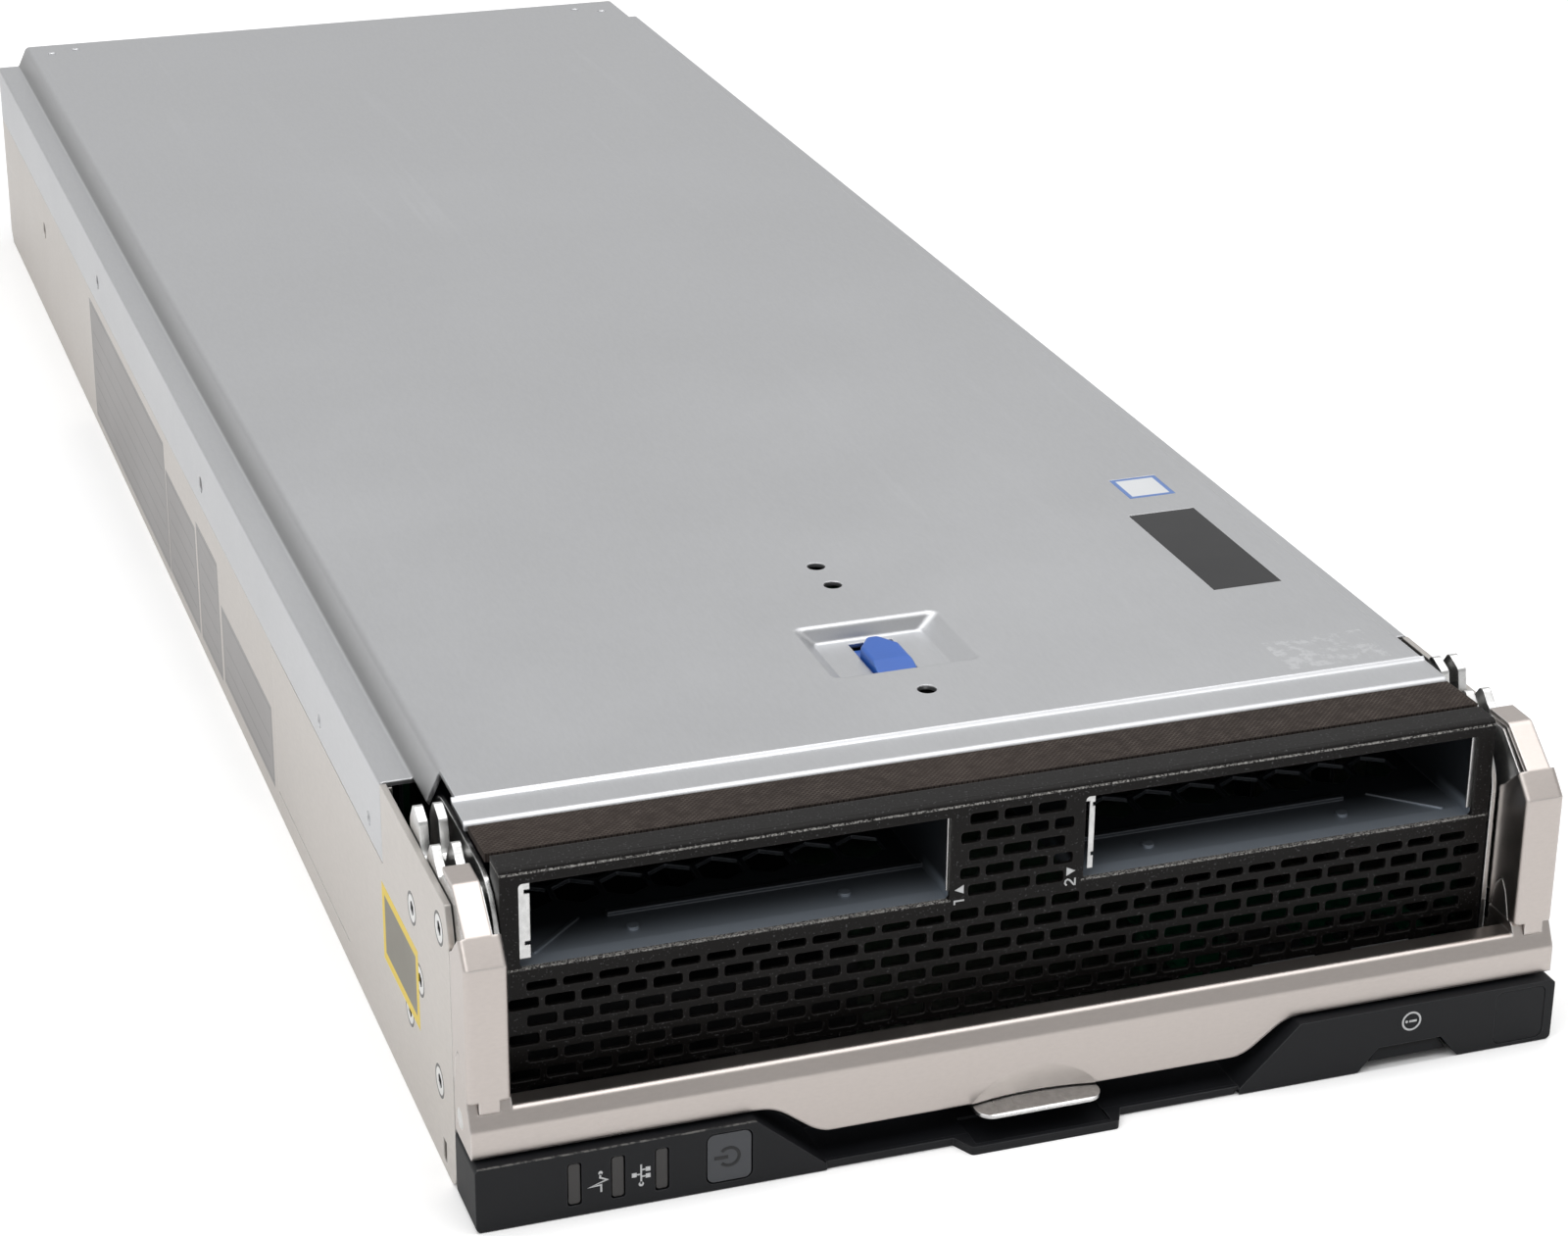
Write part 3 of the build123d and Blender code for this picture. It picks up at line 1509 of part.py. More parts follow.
def make_slot(x, y):
    slot = block(
        x - dimm_slot_half, x + dimm_slot_half, y - dimm_slot_half_length, y + dimm_slot_half_length, board_top,
        board_top + dimm_slot_height,
    )
    for side in (-1, 1):
        slot += block(
            x - dimm_latch_half, x + dimm_latch_half, y + side * dimm_slot_half_length,
            y + side * (dimm_slot_half_length - dimm_latch_length), board_top, board_top + dimm_latch_height,
        )
    return slot - block(
        x - dimm_half_sheet - pin_clearance, x + dimm_half_sheet + pin_clearance, y - dimm_half_length - seat_gap,
        y + dimm_half_length + seat_gap, board_top + dimm_seat, board_top + dimm_latch_height + overrun,
    )


parts["memory_slots"] = [make_slot(x, y) for x, y in bank_places()]


def make_module(x, y):
    low = board_top + dimm_seat
    module = block(
        x - dimm_half_sheet, x + dimm_half_sheet, y - dimm_half_length, y + dimm_half_length, low, low + dimm_height
    )
    face = x + dimm_half_sheet
    chips = [
        block(
            face, face + chip_sheet, y + place - chip_half_length, y + place + chip_half_length, low + chip_low,
            low + chip_low + chip_height,
        )
        for place in spread(chip_count, chip_pitch)
    ]
    return module + chips


parts["memory_modules"] = [make_module(x, y) for x, y in bank_places()]


# Coils, cans and a hub chip on the system board
def make_board_parts():
    pieces = []
    for d in coil_depths:
        for x in spread(coil_columns, coil_pitch):
            pieces.append(block(
                x - coil_size / 2, x + coil_size / 2, depth(d), depth(d) + coil_size, board_top,
                board_top + coil_height,
            ))
    for d in can_depths:
        for x in spread(coil_columns, coil_pitch):
            pieces.append(rod_z(x, depth(d), can_r, board_top, board_top + can_height))
    y = depth(hub_chip_depth)
    chip = block(-hub_chip_half, hub_chip_half, y - hub_chip_half, y + hub_chip_half, board_top,
                 board_top + hub_chip_height)
    chip += block(
        -hub_sink_half, hub_sink_half, y - hub_sink_half, y + hub_sink_half, board_top + hub_chip_height,
        board_top + hub_chip_height + hub_sink_height,
    )
    pieces.append(chip)
    pieces.append(rod_z(cell_x, depth(cell_depth), cell_r + cell_holder, board_top, board_top + cell_holder))
    return pieces


parts["board_parts"] = make_board_parts()
parts["coin_cell"] = rod_z(
    cell_x, depth(cell_depth), cell_r, board_top + cell_holder, board_top + cell_holder + cell_height
)


# Mezzanine cards over the rear of the board, on sockets and posts
parts["mezzanine_cards"] = [
    block(x - mezz_half, x + mezz_half, depth(mezz_front), depth(mezz_rear), mezz_z, mezz_z + mezz_sheet)
    for x in mezz_centers
]


def make_mezz_sink(x):
    low = mezz_z + mezz_sheet
    high = low + mezz_sink_height
    sink = block(
        x - mezz_sink_half, x + mezz_sink_half, depth(mezz_sink_front), depth(mezz_sink_rear), low,
        low + mezz_sink_base,
    )
    pitch = (mezz_sink_half + mezz_sink_half - mezz_fin_sheet) / (mezz_fin_count - 1)
    return sink + [
        block(
            x + fin - mezz_fin_sheet / 2, x + fin + mezz_fin_sheet / 2, depth(mezz_sink_front),
            depth(mezz_sink_rear), low + mezz_sink_base, high,
        )
        for fin in spread(mezz_fin_count, pitch)
    ]


parts["mezzanine_sinks"] = [make_mezz_sink(x) for x in mezz_centers]


# Plugs that meet the enclosure: hollow from the rear, with blades inside
def rear_plug(x, half, front, low, height, cavity, blade, blade_count, blade_pitch):
    plug = block(x - half, x + half, depth(front), rear_y, low, low + height)
    plug -= block(
        x - half + plug_wall, x + half - plug_wall, rear_y - cavity, rear_y + overrun, low + plug_wall,
        low + height - plug_wall,
    )
    inset = plug_wall + plug_blade_sink
    return plug + [
        block(
            x + place - blade / 2, x + place + blade / 2, rear_y - cavity - seat_gap, rear_y - plug_blade_sink,
            low + inset, low + height - inset,
        )
        for place in spread(blade_count, blade_pitch)
    ]


def make_mezz_connectors():
    pieces = []
    for x in mezz_centers:
        pieces.append(block(
            x - mezz_socket_half, x + mezz_socket_half, depth(mezz_socket_front), depth(mezz_socket_rear),
            board_top, mezz_z,
        ))
        for side in (mezz_post_inset - mezz_half, mezz_half - mezz_post_inset):
            for d in (mezz_front + mezz_post_inset, mezz_rear - mezz_post_inset):
                pieces.append(rod_z(x + side, depth(d), mezz_post_r, board_top, mezz_z))
        pieces.append(rear_plug(
            x, plug_half, plug_front, mezz_z + mezz_sheet, plug_height, plug_cavity, plug_blade, plug_blade_count,
            plug_blade_pitch,
        ))
    return pieces


parts["mezzanine_connectors"] = make_mezz_connectors()
parts["power_plug"] = rear_plug(
    0, power_plug_half, power_plug_front, board_top, power_plug_height, power_plug_cavity, power_blade,
    power_blade_count, power_blade_pitch,
)


# Guide blocks at the rear corners, bored for the enclosure's guide pins
def make_guide_block():
    guide = block(
        guide_x - guide_half, guide_x + guide_half, rear_y - guide_block_length, rear_y, guide_z - guide_half,
        guide_z + guide_half,
    )
    guide += block(
        guide_x - guide_foot_half, guide_x + guide_foot_half, rear_y - guide_block_length,
        rear_y - guide_block_length + guide_foot_length, board_top, guide_z - guide_half,
    )
    return guide - rod_y(guide_x, guide_z, guide_bore_r, rear_y - guide_bore_length, rear_y + overrun)


parts["guide_block_left"], parts["guide_block_right"] = left_and_right(make_guide_block())


# Rear panel, pierced for air and for the plugs
def make_rear_panel():
    openings = []
    for row in range(rear_slot_rows):
        z = rear_slot_first_z + row * rear_slot_row_pitch
        for x in spread(rear_slot_columns + rear_slot_columns - row % 2, rear_slot_pitch):
            ring = corners(
                x - rear_slot_width / 2, x + rear_slot_width / 2, z - rear_slot_height / 2, z + rear_slot_height / 2
            )
            openings.append((ring, slot_corner))
    plug_low = mezz_z + mezz_sheet
    for x in mezz_centers:
        ring = corners(
            x - plug_half - seat_gap, x + plug_half + seat_gap, plug_low - seat_gap, plug_low + plug_height + seat_gap
        )
        openings.append((ring, seat_gap))
    ring = corners(
        -power_plug_half - seat_gap, power_plug_half + seat_gap, board_top - seat_gap,
        board_top + power_plug_height + seat_gap,
    )
    openings.append((ring, seat_gap))
    rim = list(rear_wall_points) + [(-x, z) for x, z in reversed(rear_wall_points)]
    front = depth(rear_wall_depth)
    panel = wall_with_openings(rim, openings, front, front + rear_wall_sheet)
    notch = block(
        guide_x - guide_half - seat_gap, half_width, front - overrun, front + rear_wall_sheet + overrun, 0,
        guide_z + guide_half + seat_gap,
    )
    return panel - left_and_right(notch)


parts["rear_panel"] = make_rear_panel()

# One file for each piece
os.makedirs("parts", exist_ok=True)
for name, shape in parts.items():
    export_step(Compound(children=shape) if isinstance(shape, list) else shape, f"parts/{name}.step")
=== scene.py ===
import json
import math

import bmesh
import bpy
from mathutils import Matrix, Vector


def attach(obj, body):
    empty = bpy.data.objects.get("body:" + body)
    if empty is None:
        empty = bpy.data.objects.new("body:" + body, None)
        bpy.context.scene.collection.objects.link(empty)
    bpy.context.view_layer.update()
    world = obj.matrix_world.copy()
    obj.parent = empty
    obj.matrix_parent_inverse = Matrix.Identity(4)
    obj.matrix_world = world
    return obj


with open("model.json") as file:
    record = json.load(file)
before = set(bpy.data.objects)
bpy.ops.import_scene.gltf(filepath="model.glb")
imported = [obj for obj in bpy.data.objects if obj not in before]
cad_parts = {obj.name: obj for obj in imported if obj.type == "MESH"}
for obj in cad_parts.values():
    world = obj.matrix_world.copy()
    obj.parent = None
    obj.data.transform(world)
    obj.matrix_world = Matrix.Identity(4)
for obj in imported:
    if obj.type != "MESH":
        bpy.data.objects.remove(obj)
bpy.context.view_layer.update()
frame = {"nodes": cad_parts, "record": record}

nodes = frame["nodes"]
MM = 0.001
FRONT = -0.2994          # Y of the lower panel's face
WHITE = (1, 1, 1, 1)


def at(depth):
    """Y of a place some millimetres behind the lower panel's face."""
    return FRONT + depth * MM


# Node trees and materials
SRGB_KNEE = 10.31        # below this level of 255 the curve is a straight line


def linear(color):
    """Shader values of a colour given as red, green and blue out of 255."""
    return tuple(
        v / 255 / 12.92 if v <= SRGB_KNEE else ((v / 255 + 0.055) / 1.055) ** 2.4 for v in color
    ) + (1.0,)


def shade(color, share):
    return tuple(min(1.0, v * share) for v in color[:3]) + (1.0,)


class Nodes:
    """A node tree, with short calls for the nodes used here."""

    def __init__(self, node_tree):
        self.nt = node_tree

    def feed(self, socket, value):
        if isinstance(value, bpy.types.NodeSocket):
            self.nt.links.new(value, socket)
        else:
            socket.default_value = value

    def node(self, kind, inputs=None, **settings):
        n = self.nt.nodes.new(kind)
        for k, v in settings.items():
            setattr(n, k, v)
        for k, v in (inputs or {}).items():
            self.feed(n.inputs[k], v)
        return n

    def ramp(self, value, low, high, out_low=0.0, out_high=1.0):
        return self.node("ShaderNodeMapRange", {
            "Value": value, "From Min": low, "From Max": high, "To Min": out_low, "To Max": out_high,
        }).outputs[0]

    def split(self, vector):
        return self.node("ShaderNodeSeparateXYZ", {0: vector}).outputs


class Tree(Nodes):
    """A material's nodes."""

    def __init__(self, name):
        self.material = bpy.data.materials.new(name)
        self.material.use_nodes = True
        super().__init__(self.material.node_tree)
        self.shader = self.nt.nodes["Principled BSDF"]
        self.coord = self.node("ShaderNodeTexCoord").outputs["Object"]

    def set(self, name, value):
        self.feed(self.shader.inputs[name], value)

    def stretched(self, scale):
        return self.node("ShaderNodeMapping", {"Vector": self.coord, "Scale": scale}).outputs[0]

    def noise(self, scale, detail=3.0, rough=0.55, vector=None):
        return self.node("ShaderNodeTexNoise", {
            "Vector": vector or self.coord, "Scale": scale, "Detail": detail, "Roughness": rough,
        }).outputs["Fac"]

    def math(self, operation, a, b=0.0):
        return self.node("ShaderNodeMath", {0: a, 1: b}, operation=operation).outputs[0]

    def mix(self, factor, a, b):
        n = self.node("ShaderNodeMix", data_type="RGBA")
        for key, v in (("Factor_Float", factor), ("A_Color", a), ("B_Color", b)):
            self.feed(next(s for s in n.inputs if s.identifier == key), v)
        return next(s for s in n.outputs if s.identifier == "Result_Color")

    def normal(self):
        return self.node("ShaderNodeNewGeometry").outputs["Normal"]

    def edges(self, radius):
        """1 near a sharp edge, 0 on a flat face, and the rounded normal."""
        bevel = self.node("ShaderNodeBevel", {"Radius": radius}, samples=4).outputs[0]
        dot = self.node("ShaderNodeVectorMath", {0: bevel, 1: self.normal()}, operation="DOT_PRODUCT")
        return self.ramp(dot.outputs["Value"], 1.0, EDGE_DOT), bevel

    def separate(self):
        return self.split(self.coord)


EDGE_DOT = 0.75          # rounded against flat normal where an edge counts as fully sharp
BUMP_DISTANCE = 0.0001
EDGE_SHARE = 0.6         # how much of the edge colour a metal's edge takes
CLOUD_SHARE = 0.22       # how much a metal darkens in its soft clouds
SCRATCH_SCALE = 260.0
SCRATCH_STRETCH = (1, 0.03, 1)
SCRATCH_LIGHT = 1.35


def finish(t, color, rough, height, bump, normal):
    t.set("Base Color", color)
    t.set("Roughness", rough)
    raised = t.node("ShaderNodeBump", {
        "Height": height, "Strength": bump, "Distance": BUMP_DISTANCE, "Normal": normal,
    })
    t.set("Normal", raised.outputs[0])
    return t.material


def metal(name, color, rough, metallic=1.0, spread=0.04, stretch=(1, 1, 1), grain=900.0, bevel=0.0004,
          edge=None, bump=0.05, smudge=0.06, scratch=0.0, extra=None):
    """Bare sheet: fine stretched grain, soft clouds, fine scratches and lighter edges."""
    t = Tree(name)
    base = linear(color)
    dark, light = shade(base, 1 - spread * 2), shade(base, 1 + spread * 2)
    fine = t.noise(grain, detail=2.0, rough=0.6, vector=t.stretched(stretch))
    cloud = t.noise(14.0, detail=4.0, rough=0.6)
    body = t.mix(t.ramp(fine, 0.3, 0.7), dark, light)
    body = t.mix(t.ramp(cloud, 0.35, 0.75, 0.0, CLOUD_SHARE), body, dark)
    if scratch:
        lines = t.noise(SCRATCH_SCALE, detail=1.0, rough=0.5, vector=t.stretched(SCRATCH_STRETCH))
        patches = t.ramp(t.noise(9.0, detail=3.0, rough=0.6), 0.5, 0.7)
        worn = t.math("MULTIPLY", t.ramp(lines, 0.62, 0.72, 0.0, scratch), patches)
        body = t.mix(worn, body, shade(base, SCRATCH_LIGHT))
    mask, normal = t.edges(bevel)
    if edge is not None:
        body = t.mix(t.math("MULTIPLY", mask, EDGE_SHARE), body, linear(edge))
    if extra is not None:
        body = extra(t, body)
    t.set("Metallic", metallic)
    return finish(t, body, t.ramp(cloud, 0.3, 0.7, rough - smudge, rough + smudge), fine, bump, normal)


def plastic(name, color, rough, spread=0.06, grain=1600.0, bump=0.12, bevel=0.0004, edge=None,
            specular=0.5, extra=None):
    """Moulded, painted or printed: fine grain, soft clouds and edges that are rubbed in places."""
    t = Tree(name)
    base = linear(color)
    fine = t.noise(grain, detail=2.0, rough=0.5)
    cloud = t.noise(25.0, detail=4.0, rough=0.6)
    body = t.mix(t.ramp(cloud, 0.3, 0.7), shade(base, 1 - spread * 2), shade(base, 1 + spread * 2))
    mask, normal = t.edges(bevel)
    if edge is not None:
        worn = t.math("MULTIPLY", mask, t.ramp(cloud, 0.3, 0.6, 0.4, 0.9))
        body = t.mix(worn, body, linear(edge))
    t.set("Specular IOR Level", specular)
    if extra is not None:
        body = extra(t, body)
    return finish(t, body, t.ramp(cloud, 0.3, 0.7, rough - 0.05, rough + 0.06), fine, bump, normal)


# Masks on object coordinates
def inside(t, u, v, u0, u1, v0, v1):
    """1 in a rectangle of two coordinates in metres, with an edge a tenth of a millimetre wide."""
    least = t.math("SUBTRACT", u, u0)
    for margin in (t.math("SUBTRACT", u1, u), t.math("SUBTRACT", v, v0), t.math("SUBTRACT", v1, v)):
        least = t.math("MINIMUM", least, margin)
    return t.ramp(least, 0.0, 0.1 * MM)


def band(t, value, rise, fall):
    """1 between the two ends of a band, rising over one pair of millimetres and falling over the other."""
    up = t.ramp(value, rise[0] * MM, rise[1] * MM)
    return t.math("MULTIPLY", up, t.ramp(value, fall[1] * MM, fall[0] * MM))


def ruled(t, value, origin, pitch, share):
    """1 on fine lines across a coordinate, repeated by a pitch."""
    place = t.math("FRACT", t.math("DIVIDE", t.math("SUBTRACT", value, origin), pitch))
    return t.math("LESS_THAN", place, share)


# Printed labels: front and rear depth, lower and upper height
SIDE_LABELS = (
    (305.2, 424.0, 2.6, 37.6), (264.0, 304.4, 3.0, 31.0), (235.0, 262.0, 3.2, 33.4), (174.4, 232.6, 4.4, 24.0),
)
FRAME_MARGIN = 0.9
FRAME_INNER = 1.3
FIELD_MARGIN = 4.0
RULE_PITCH = 5.2
RULE_SHARE = 0.07
CAUTION_FIELD = (40.6, 65.6, 21.6, 34.2)
BLUE_FRAME_X = (79.2, 88.2)
BLUE_FRAME_DEPTH = (138.9, 148.2)


def side_print(t, body):
    """A fine frame and rules on each printed label of the left side."""
    _, y, z = t.separate()

    def within(d0, d1, z0, z1, margin):
        return inside(t, y, z, at(d0 + margin), at(d1 - margin), (z0 + margin) * MM, (z1 - margin) * MM)

    for label in SIDE_LABELS:
        frame_line = t.math("SUBTRACT", within(*label, FRAME_MARGIN), within(*label, FRAME_INNER))
        rules = ruled(t, z, label[2] * MM, RULE_PITCH * MM, RULE_SHARE)
        rules = t.math("MULTIPLY", within(*label, FIELD_MARGIN), rules)
        lines = t.math("MAXIMUM", frame_line, rules)
        body = t.mix(t.math("MULTIPLY", lines, 0.55), body, linear((88, 87, 86)))
    return body


def caution_print(t, body):
    """A plain grey field inside the label's yellow edge."""
    _, y, z = t.separate()
    d0, d1, z0, z1 = CAUTION_FIELD
    return t.mix(inside(t, y, z, at(d0), at(d1), z0 * MM, z1 * MM), body, linear((118, 114, 102)))


def blue_frame(t, body):
    x, y, _ = t.separate()
    (x0, x1), (d0, d1) = BLUE_FRAME_X, BLUE_FRAME_DEPTH
    return t.mix(inside(t, x, y, x0 * MM, x1 * MM, at(d0), at(d1)), linear((92, 122, 178)), body)


WEAVE = (0.0, 1.1 * MM, 0.32)     # origin, pitch and share of the hatch lines


def weave(t, body):
    """Fine crossing hatch of the woven strip."""
    x, y, _ = t.separate()
    one = ruled(t, t.math("ADD", x, y), *WEAVE)
    two = ruled(t, t.math("SUBTRACT", x, y), *WEAVE)
    uneven = t.ramp(t.noise(500.0), 0.3, 0.7, 0.1, 0.6)
    return t.mix(t.math("MULTIPLY", t.math("MAXIMUM", one, two), uneven), body, linear((92, 84, 79)))


# Heights of the bezel's lines, a painted highlight with bare metal along the top edge and worn lines along the
# bays' lower edges, and how far from the middle the lower one starts
BEZEL_TOP_LINE = ((62.15, 62.3), (62.5, 62.7))
BAY_LOW_LINE = ((43.0, 43.2), (43.45, 43.55))
BAY_START = 13.0


def bezel_wear_and_highlight(t, body):
    """A painted highlight with bare metal along the bezel's top edge, bare metal along the bays' lower edges, and
    fine specks.
    """
    x, _, z = t.separate()
    grain = t.ramp(t.noise(2600.0, detail=2.0, rough=0.7), 0.4, 0.62)
    off_middle = t.math("GREATER_THAN", t.math("ABSOLUTE", x), BAY_START * MM)
    low = t.math("MULTIPLY", band(t, z, *BAY_LOW_LINE), off_middle)
    # worn holds the painted highlight of the top edge as well as the bare metal of the bays' lower edges
    worn = t.math("MULTIPLY", t.math("MAXIMUM", band(t, z, *BEZEL_TOP_LINE), low), grain)
    body = t.mix(t.math("MULTIPLY", worn, 0.7), body, linear((188, 186, 182)))
    speck = t.ramp(t.noise(2300.0, detail=1.0, rough=0.5), 0.66, 0.74, 0.0, 0.35)
    return t.mix(speck, body, linear((110, 110, 112)))


PANEL_SPECULAR = 0.25
PANEL_EDGE_Z = (12.95, 13.1)
PANEL_EDGE_DEPTH = (0.2, 0.5)
PANEL_LINE_X = (-50.0, -40.0)


def panel_edge(t, body):
    """A thin pale line on the left of the lower panel's top front edge, and dull faces below."""
    x, y, z = t.separate()
    down = t.split(t.normal())["Z"]
    t.set("Specular IOR Level", t.ramp(down, -0.1, -0.3, PANEL_SPECULAR, 0.0))
    high = t.ramp(z, PANEL_EDGE_Z[0] * MM, PANEL_EDGE_Z[1] * MM)
    top = t.math("MULTIPLY", high, t.ramp(y, at(PANEL_EDGE_DEPTH[1]), at(PANEL_EDGE_DEPTH[0])))
    broken = t.ramp(t.noise(900.0, detail=2.0, rough=0.6), 0.42, 0.6, 0.05, 0.6)
    left = t.math("MULTIPLY", broken, t.ramp(x, PANEL_LINE_X[1] * MM, PANEL_LINE_X[0] * MM))
    return t.mix(t.math("MULTIPLY", top, left), body, linear((130, 128, 125)))


TAB_SHADE_Z = (3.3, 4.1)
TAB_SHADE_X = (82.0, 84.5)


def tab_shade(t, body):
    """The shade of the slot on the pull tab's front edge."""
    x, _, z = t.separate()
    above = t.ramp(z, TAB_SHADE_Z[0] * MM, TAB_SHADE_Z[1] * MM)
    right_end = t.ramp(x, TAB_SHADE_X[0] * MM, TAB_SHADE_X[1] * MM)
    return t.mix(t.math("MAXIMUM", above, right_end), body, linear((3, 3, 3)))


# The side screws: depth and height of each, the radius where the dark gap starts, the sockets' depth
SCREWS = ((42.3, 43.4), (21.2, 50.4), (46.9, 19.5), (24.4, 17.3), (37.5, 31.0))
SCREW_GAP = (2.55, 2.75)
SOCKET_X = (107.25, 107.35)


def screw_heads(t, body):
    """A dark gap round each flush screw, and the shade in its socket."""
    x, y, z = t.separate()
    nearest = None
    for depth, height in SCREWS:
        dy = t.math("SUBTRACT", y, at(depth))
        dz = t.math("SUBTRACT", z, height * MM)
        r = t.math("SQRT", t.math("ADD", t.math("MULTIPLY", dy, dy), t.math("MULTIPLY", dz, dz)))
        nearest = r if nearest is None else t.math("MINIMUM", nearest, r)
    gap = t.ramp(nearest, SCREW_GAP[0] * MM, SCREW_GAP[1] * MM)
    sunk = t.ramp(t.math("ABSOLUTE", x), SOCKET_X[1] * MM, SOCKET_X[0] * MM)
    body = t.mix(gap, body, linear((52, 50, 48)))
    return t.mix(t.math("MULTIPLY", sunk, 0.85), body, linear((46, 46, 48)))


# Painted light on the bay floors: the depths and heights over which it fades
BAY_LIGHT_DEPTH = (18.2, 29.0)
BAY_LIGHT_Z = (45.0, 46.5)


def bay_floor_light(t, body):
    """The bay floors: painted light, pale at the front and fading into the cage's dark colour further in."""
    _, y, z = t.separate()
    # Painted light, pale at the front of the floors, fading towards the back and upwards
    front = t.ramp(y, at(BAY_LIGHT_DEPTH[1]), at(BAY_LIGHT_DEPTH[0]))
    pale = t.math("MULTIPLY", front, t.ramp(z, BAY_LIGHT_Z[1] * MM, BAY_LIGHT_Z[0] * MM))
    return t.mix(pale, body, linear((156, 165, 176)))


PATCH_X = (71.0, 93.0)
PATCH_DEPTH = (46.5, 60.0)
# Where the painted shade along the side steps lies
STEP_SHADE_X = ((97.3, 100.2), (100.9, 101.2))
STEP_SHADE_DEPTH = (50.0, 58.0)


def cover_wear_and_step_shade(t, body):
    """A rubbed patch near the panel's right front corner, and painted shade on the step along its sides."""
    x, y, _ = t.separate()
    patch = inside(t, x, y, PATCH_X[0] * MM, PATCH_X[1] * MM, at(PATCH_DEPTH[0]), at(PATCH_DEPTH[1]))
    uneven = t.ramp(t.noise(420.0, detail=4.0, rough=0.7), 0.48, 0.6, 0.0, 0.5)
    body = t.mix(t.math("MULTIPLY", patch, uneven), body, linear((228, 229, 231)))
    # Painted shade along the step on each side of the cover
    step = band(t, t.math("ABSOLUTE", x), *STEP_SHADE_X)
    step = t.math("MULTIPLY", step, t.ramp(y, at(STEP_SHADE_DEPTH[0]), at(STEP_SHADE_DEPTH[1])))
    return t.mix(t.math("MULTIPLY", step, 0.5), body, linear((112, 111, 108)))


LABEL = {"grain": 500.0, "bump": 0.02}
MOULDED = {"spread": 0.05, "grain": 1700.0}
BRUSHED = {"stretch": (1, 0.1, 1), "grain": 1200.0}
slot_material = {
    "cover_metal": metal(
        "cover_metal", (199, 200, 202), 0.4, spread=0.01, stretch=(1, 0.25, 1), grain=1500.0, bevel=0.0005,
        edge=(245, 246, 248), bump=0.02, smudge=0.05, scratch=0.12, extra=cover_wear_and_step_shade,
    ),
    "tray_metal": metal(
        "tray_metal", (202, 197, 192), 0.42, spread=0.015, stretch=(1, 0.3, 1), grain=1200.0, bevel=0.0005,
        edge=(245, 243, 240), bump=0.02, smudge=0.05, scratch=0.12,
    ),
    "handle_metal": metal(
        "handle_metal", (196, 188, 183), 0.3, spread=0.012, stretch=(0.4, 1, 1), grain=1800.0, bevel=0.0006,
        edge=(252, 250, 248), bump=0.02, smudge=0.04,
    ),
    "bright_zinc": metal(
        "bright_zinc", (212, 212, 211), 0.27, spread=0.06, grain=700.0, bevel=0.0003, edge=(252, 252, 252),
        bump=0.1,
    ),
    "bezel_metal": plastic(
        "bezel_metal", (17, 15, 14), 0.42, spread=0.08, grain=1300.0, bump=0.16, bevel=0.00035, edge=(58, 56, 55),
        specular=0.16, extra=bezel_wear_and_highlight,
    ),
    "black_plastic": plastic(
        "black_plastic", (21, 22, 25), 0.5, **MOULDED, bump=0.2, bevel=0.0003, edge=(80, 81, 83),
        specular=PANEL_SPECULAR, extra=panel_edge,
    ),
    "button_plastic": plastic("button_plastic", (66, 68, 72), 0.5, **MOULDED, bump=0.15, edge=(118, 119, 123)),
    "blue_plastic": plastic(
        "blue_plastic", (40, 92, 178), 0.36, grain=1200.0, bump=0.08, bevel=0.0006, edge=(104, 152, 224),
    ),
    "lens_plastic": plastic(
        "lens_plastic", (52, 50, 49), 0.35, spread=0.05, grain=900.0, bump=0.05, bevel=0.0003, edge=(84, 82, 80),
    ),
    "foam": plastic(
        "foam", (46, 40, 37), 0.85, spread=0.08, grain=800.0, bump=0.4, edge=(88, 80, 76), specular=0.12,
        extra=weave,
    ),
    "label_black": plastic("label_black", (27, 27, 29), 0.36, spread=0.04, **LABEL, specular=0.35),
    "label_yellow": plastic("label_yellow", (226, 196, 34), 0.4, spread=0.03, **LABEL, extra=caution_print),
    "board_green": plastic(
        "board_green", (22, 92, 62), 0.34, spread=0.08, grain=300.0, bump=0.1, bevel=0.0002, edge=(60, 140, 100),
    ),
    "chip_black": plastic("chip_black", (34, 34, 36), 0.5, grain=900.0, bump=0.1),
    "lid_metal": metal("lid_metal", (205, 206, 208), 0.32, spread=0.02, **BRUSHED),
    "sink_metal": metal(
        "sink_metal", (196, 198, 202), 0.34, spread=0.03, **BRUSHED, bevel=0.0002, edge=(240, 241, 243),
    ),
    "plug_plastic": plastic(
        "plug_plastic", (38, 39, 42), 0.48, grain=1200.0, bump=0.1, bevel=0.0003, edge=(80, 82, 86),
    ),
    "port_metal": metal("port_metal", (205, 205, 206), 0.3, spread=0.03),
    "battery_plastic": plastic("battery_plastic", (30, 31, 33), 0.55, grain=900.0, bump=0.2, bevel=0.0006),
    "cell_metal": metal("cell_metal", (215, 215, 213), 0.22, spread=0.03),
}
node_material = {
    "side_labels": plastic("label_side", (146, 143, 142), 0.4, spread=0.02, **LABEL, extra=side_print),
    "top_label_short": plastic("label_small", (206, 208, 210), 0.4, spread=0.02, **LABEL, extra=blue_frame),
    "drive_cage": metal(
        "cage_metal", (52, 56, 61), 0.42, metallic=0.6, edge=(150, 154, 160), bump=0.06, extra=bay_floor_light,
    ),
    "pull_tab": plastic(
        "tab_plastic", (23, 24, 27), 0.5, **MOULDED, bump=0.2, bevel=0.0003, specular=0.2, extra=tab_shade,
    ),
    "side_screws": metal(
        "screw_metal", (226, 226, 225), 0.3, spread=0.02, bevel=0.0003, edge=(252, 252, 252), bump=0.03,
        smudge=0.04, extra=screw_heads,
    ),
}
for part in frame["record"]["subparts"]:
    material = node_material.get(part["node"]) or slot_material[part["material_slot"]]
    for material_slot in nodes[part["node"]].material_slots:
        material_slot.material = material


# Thin printed marks, each a low plate on the face that carries it
PRINT = 0.05 * MM


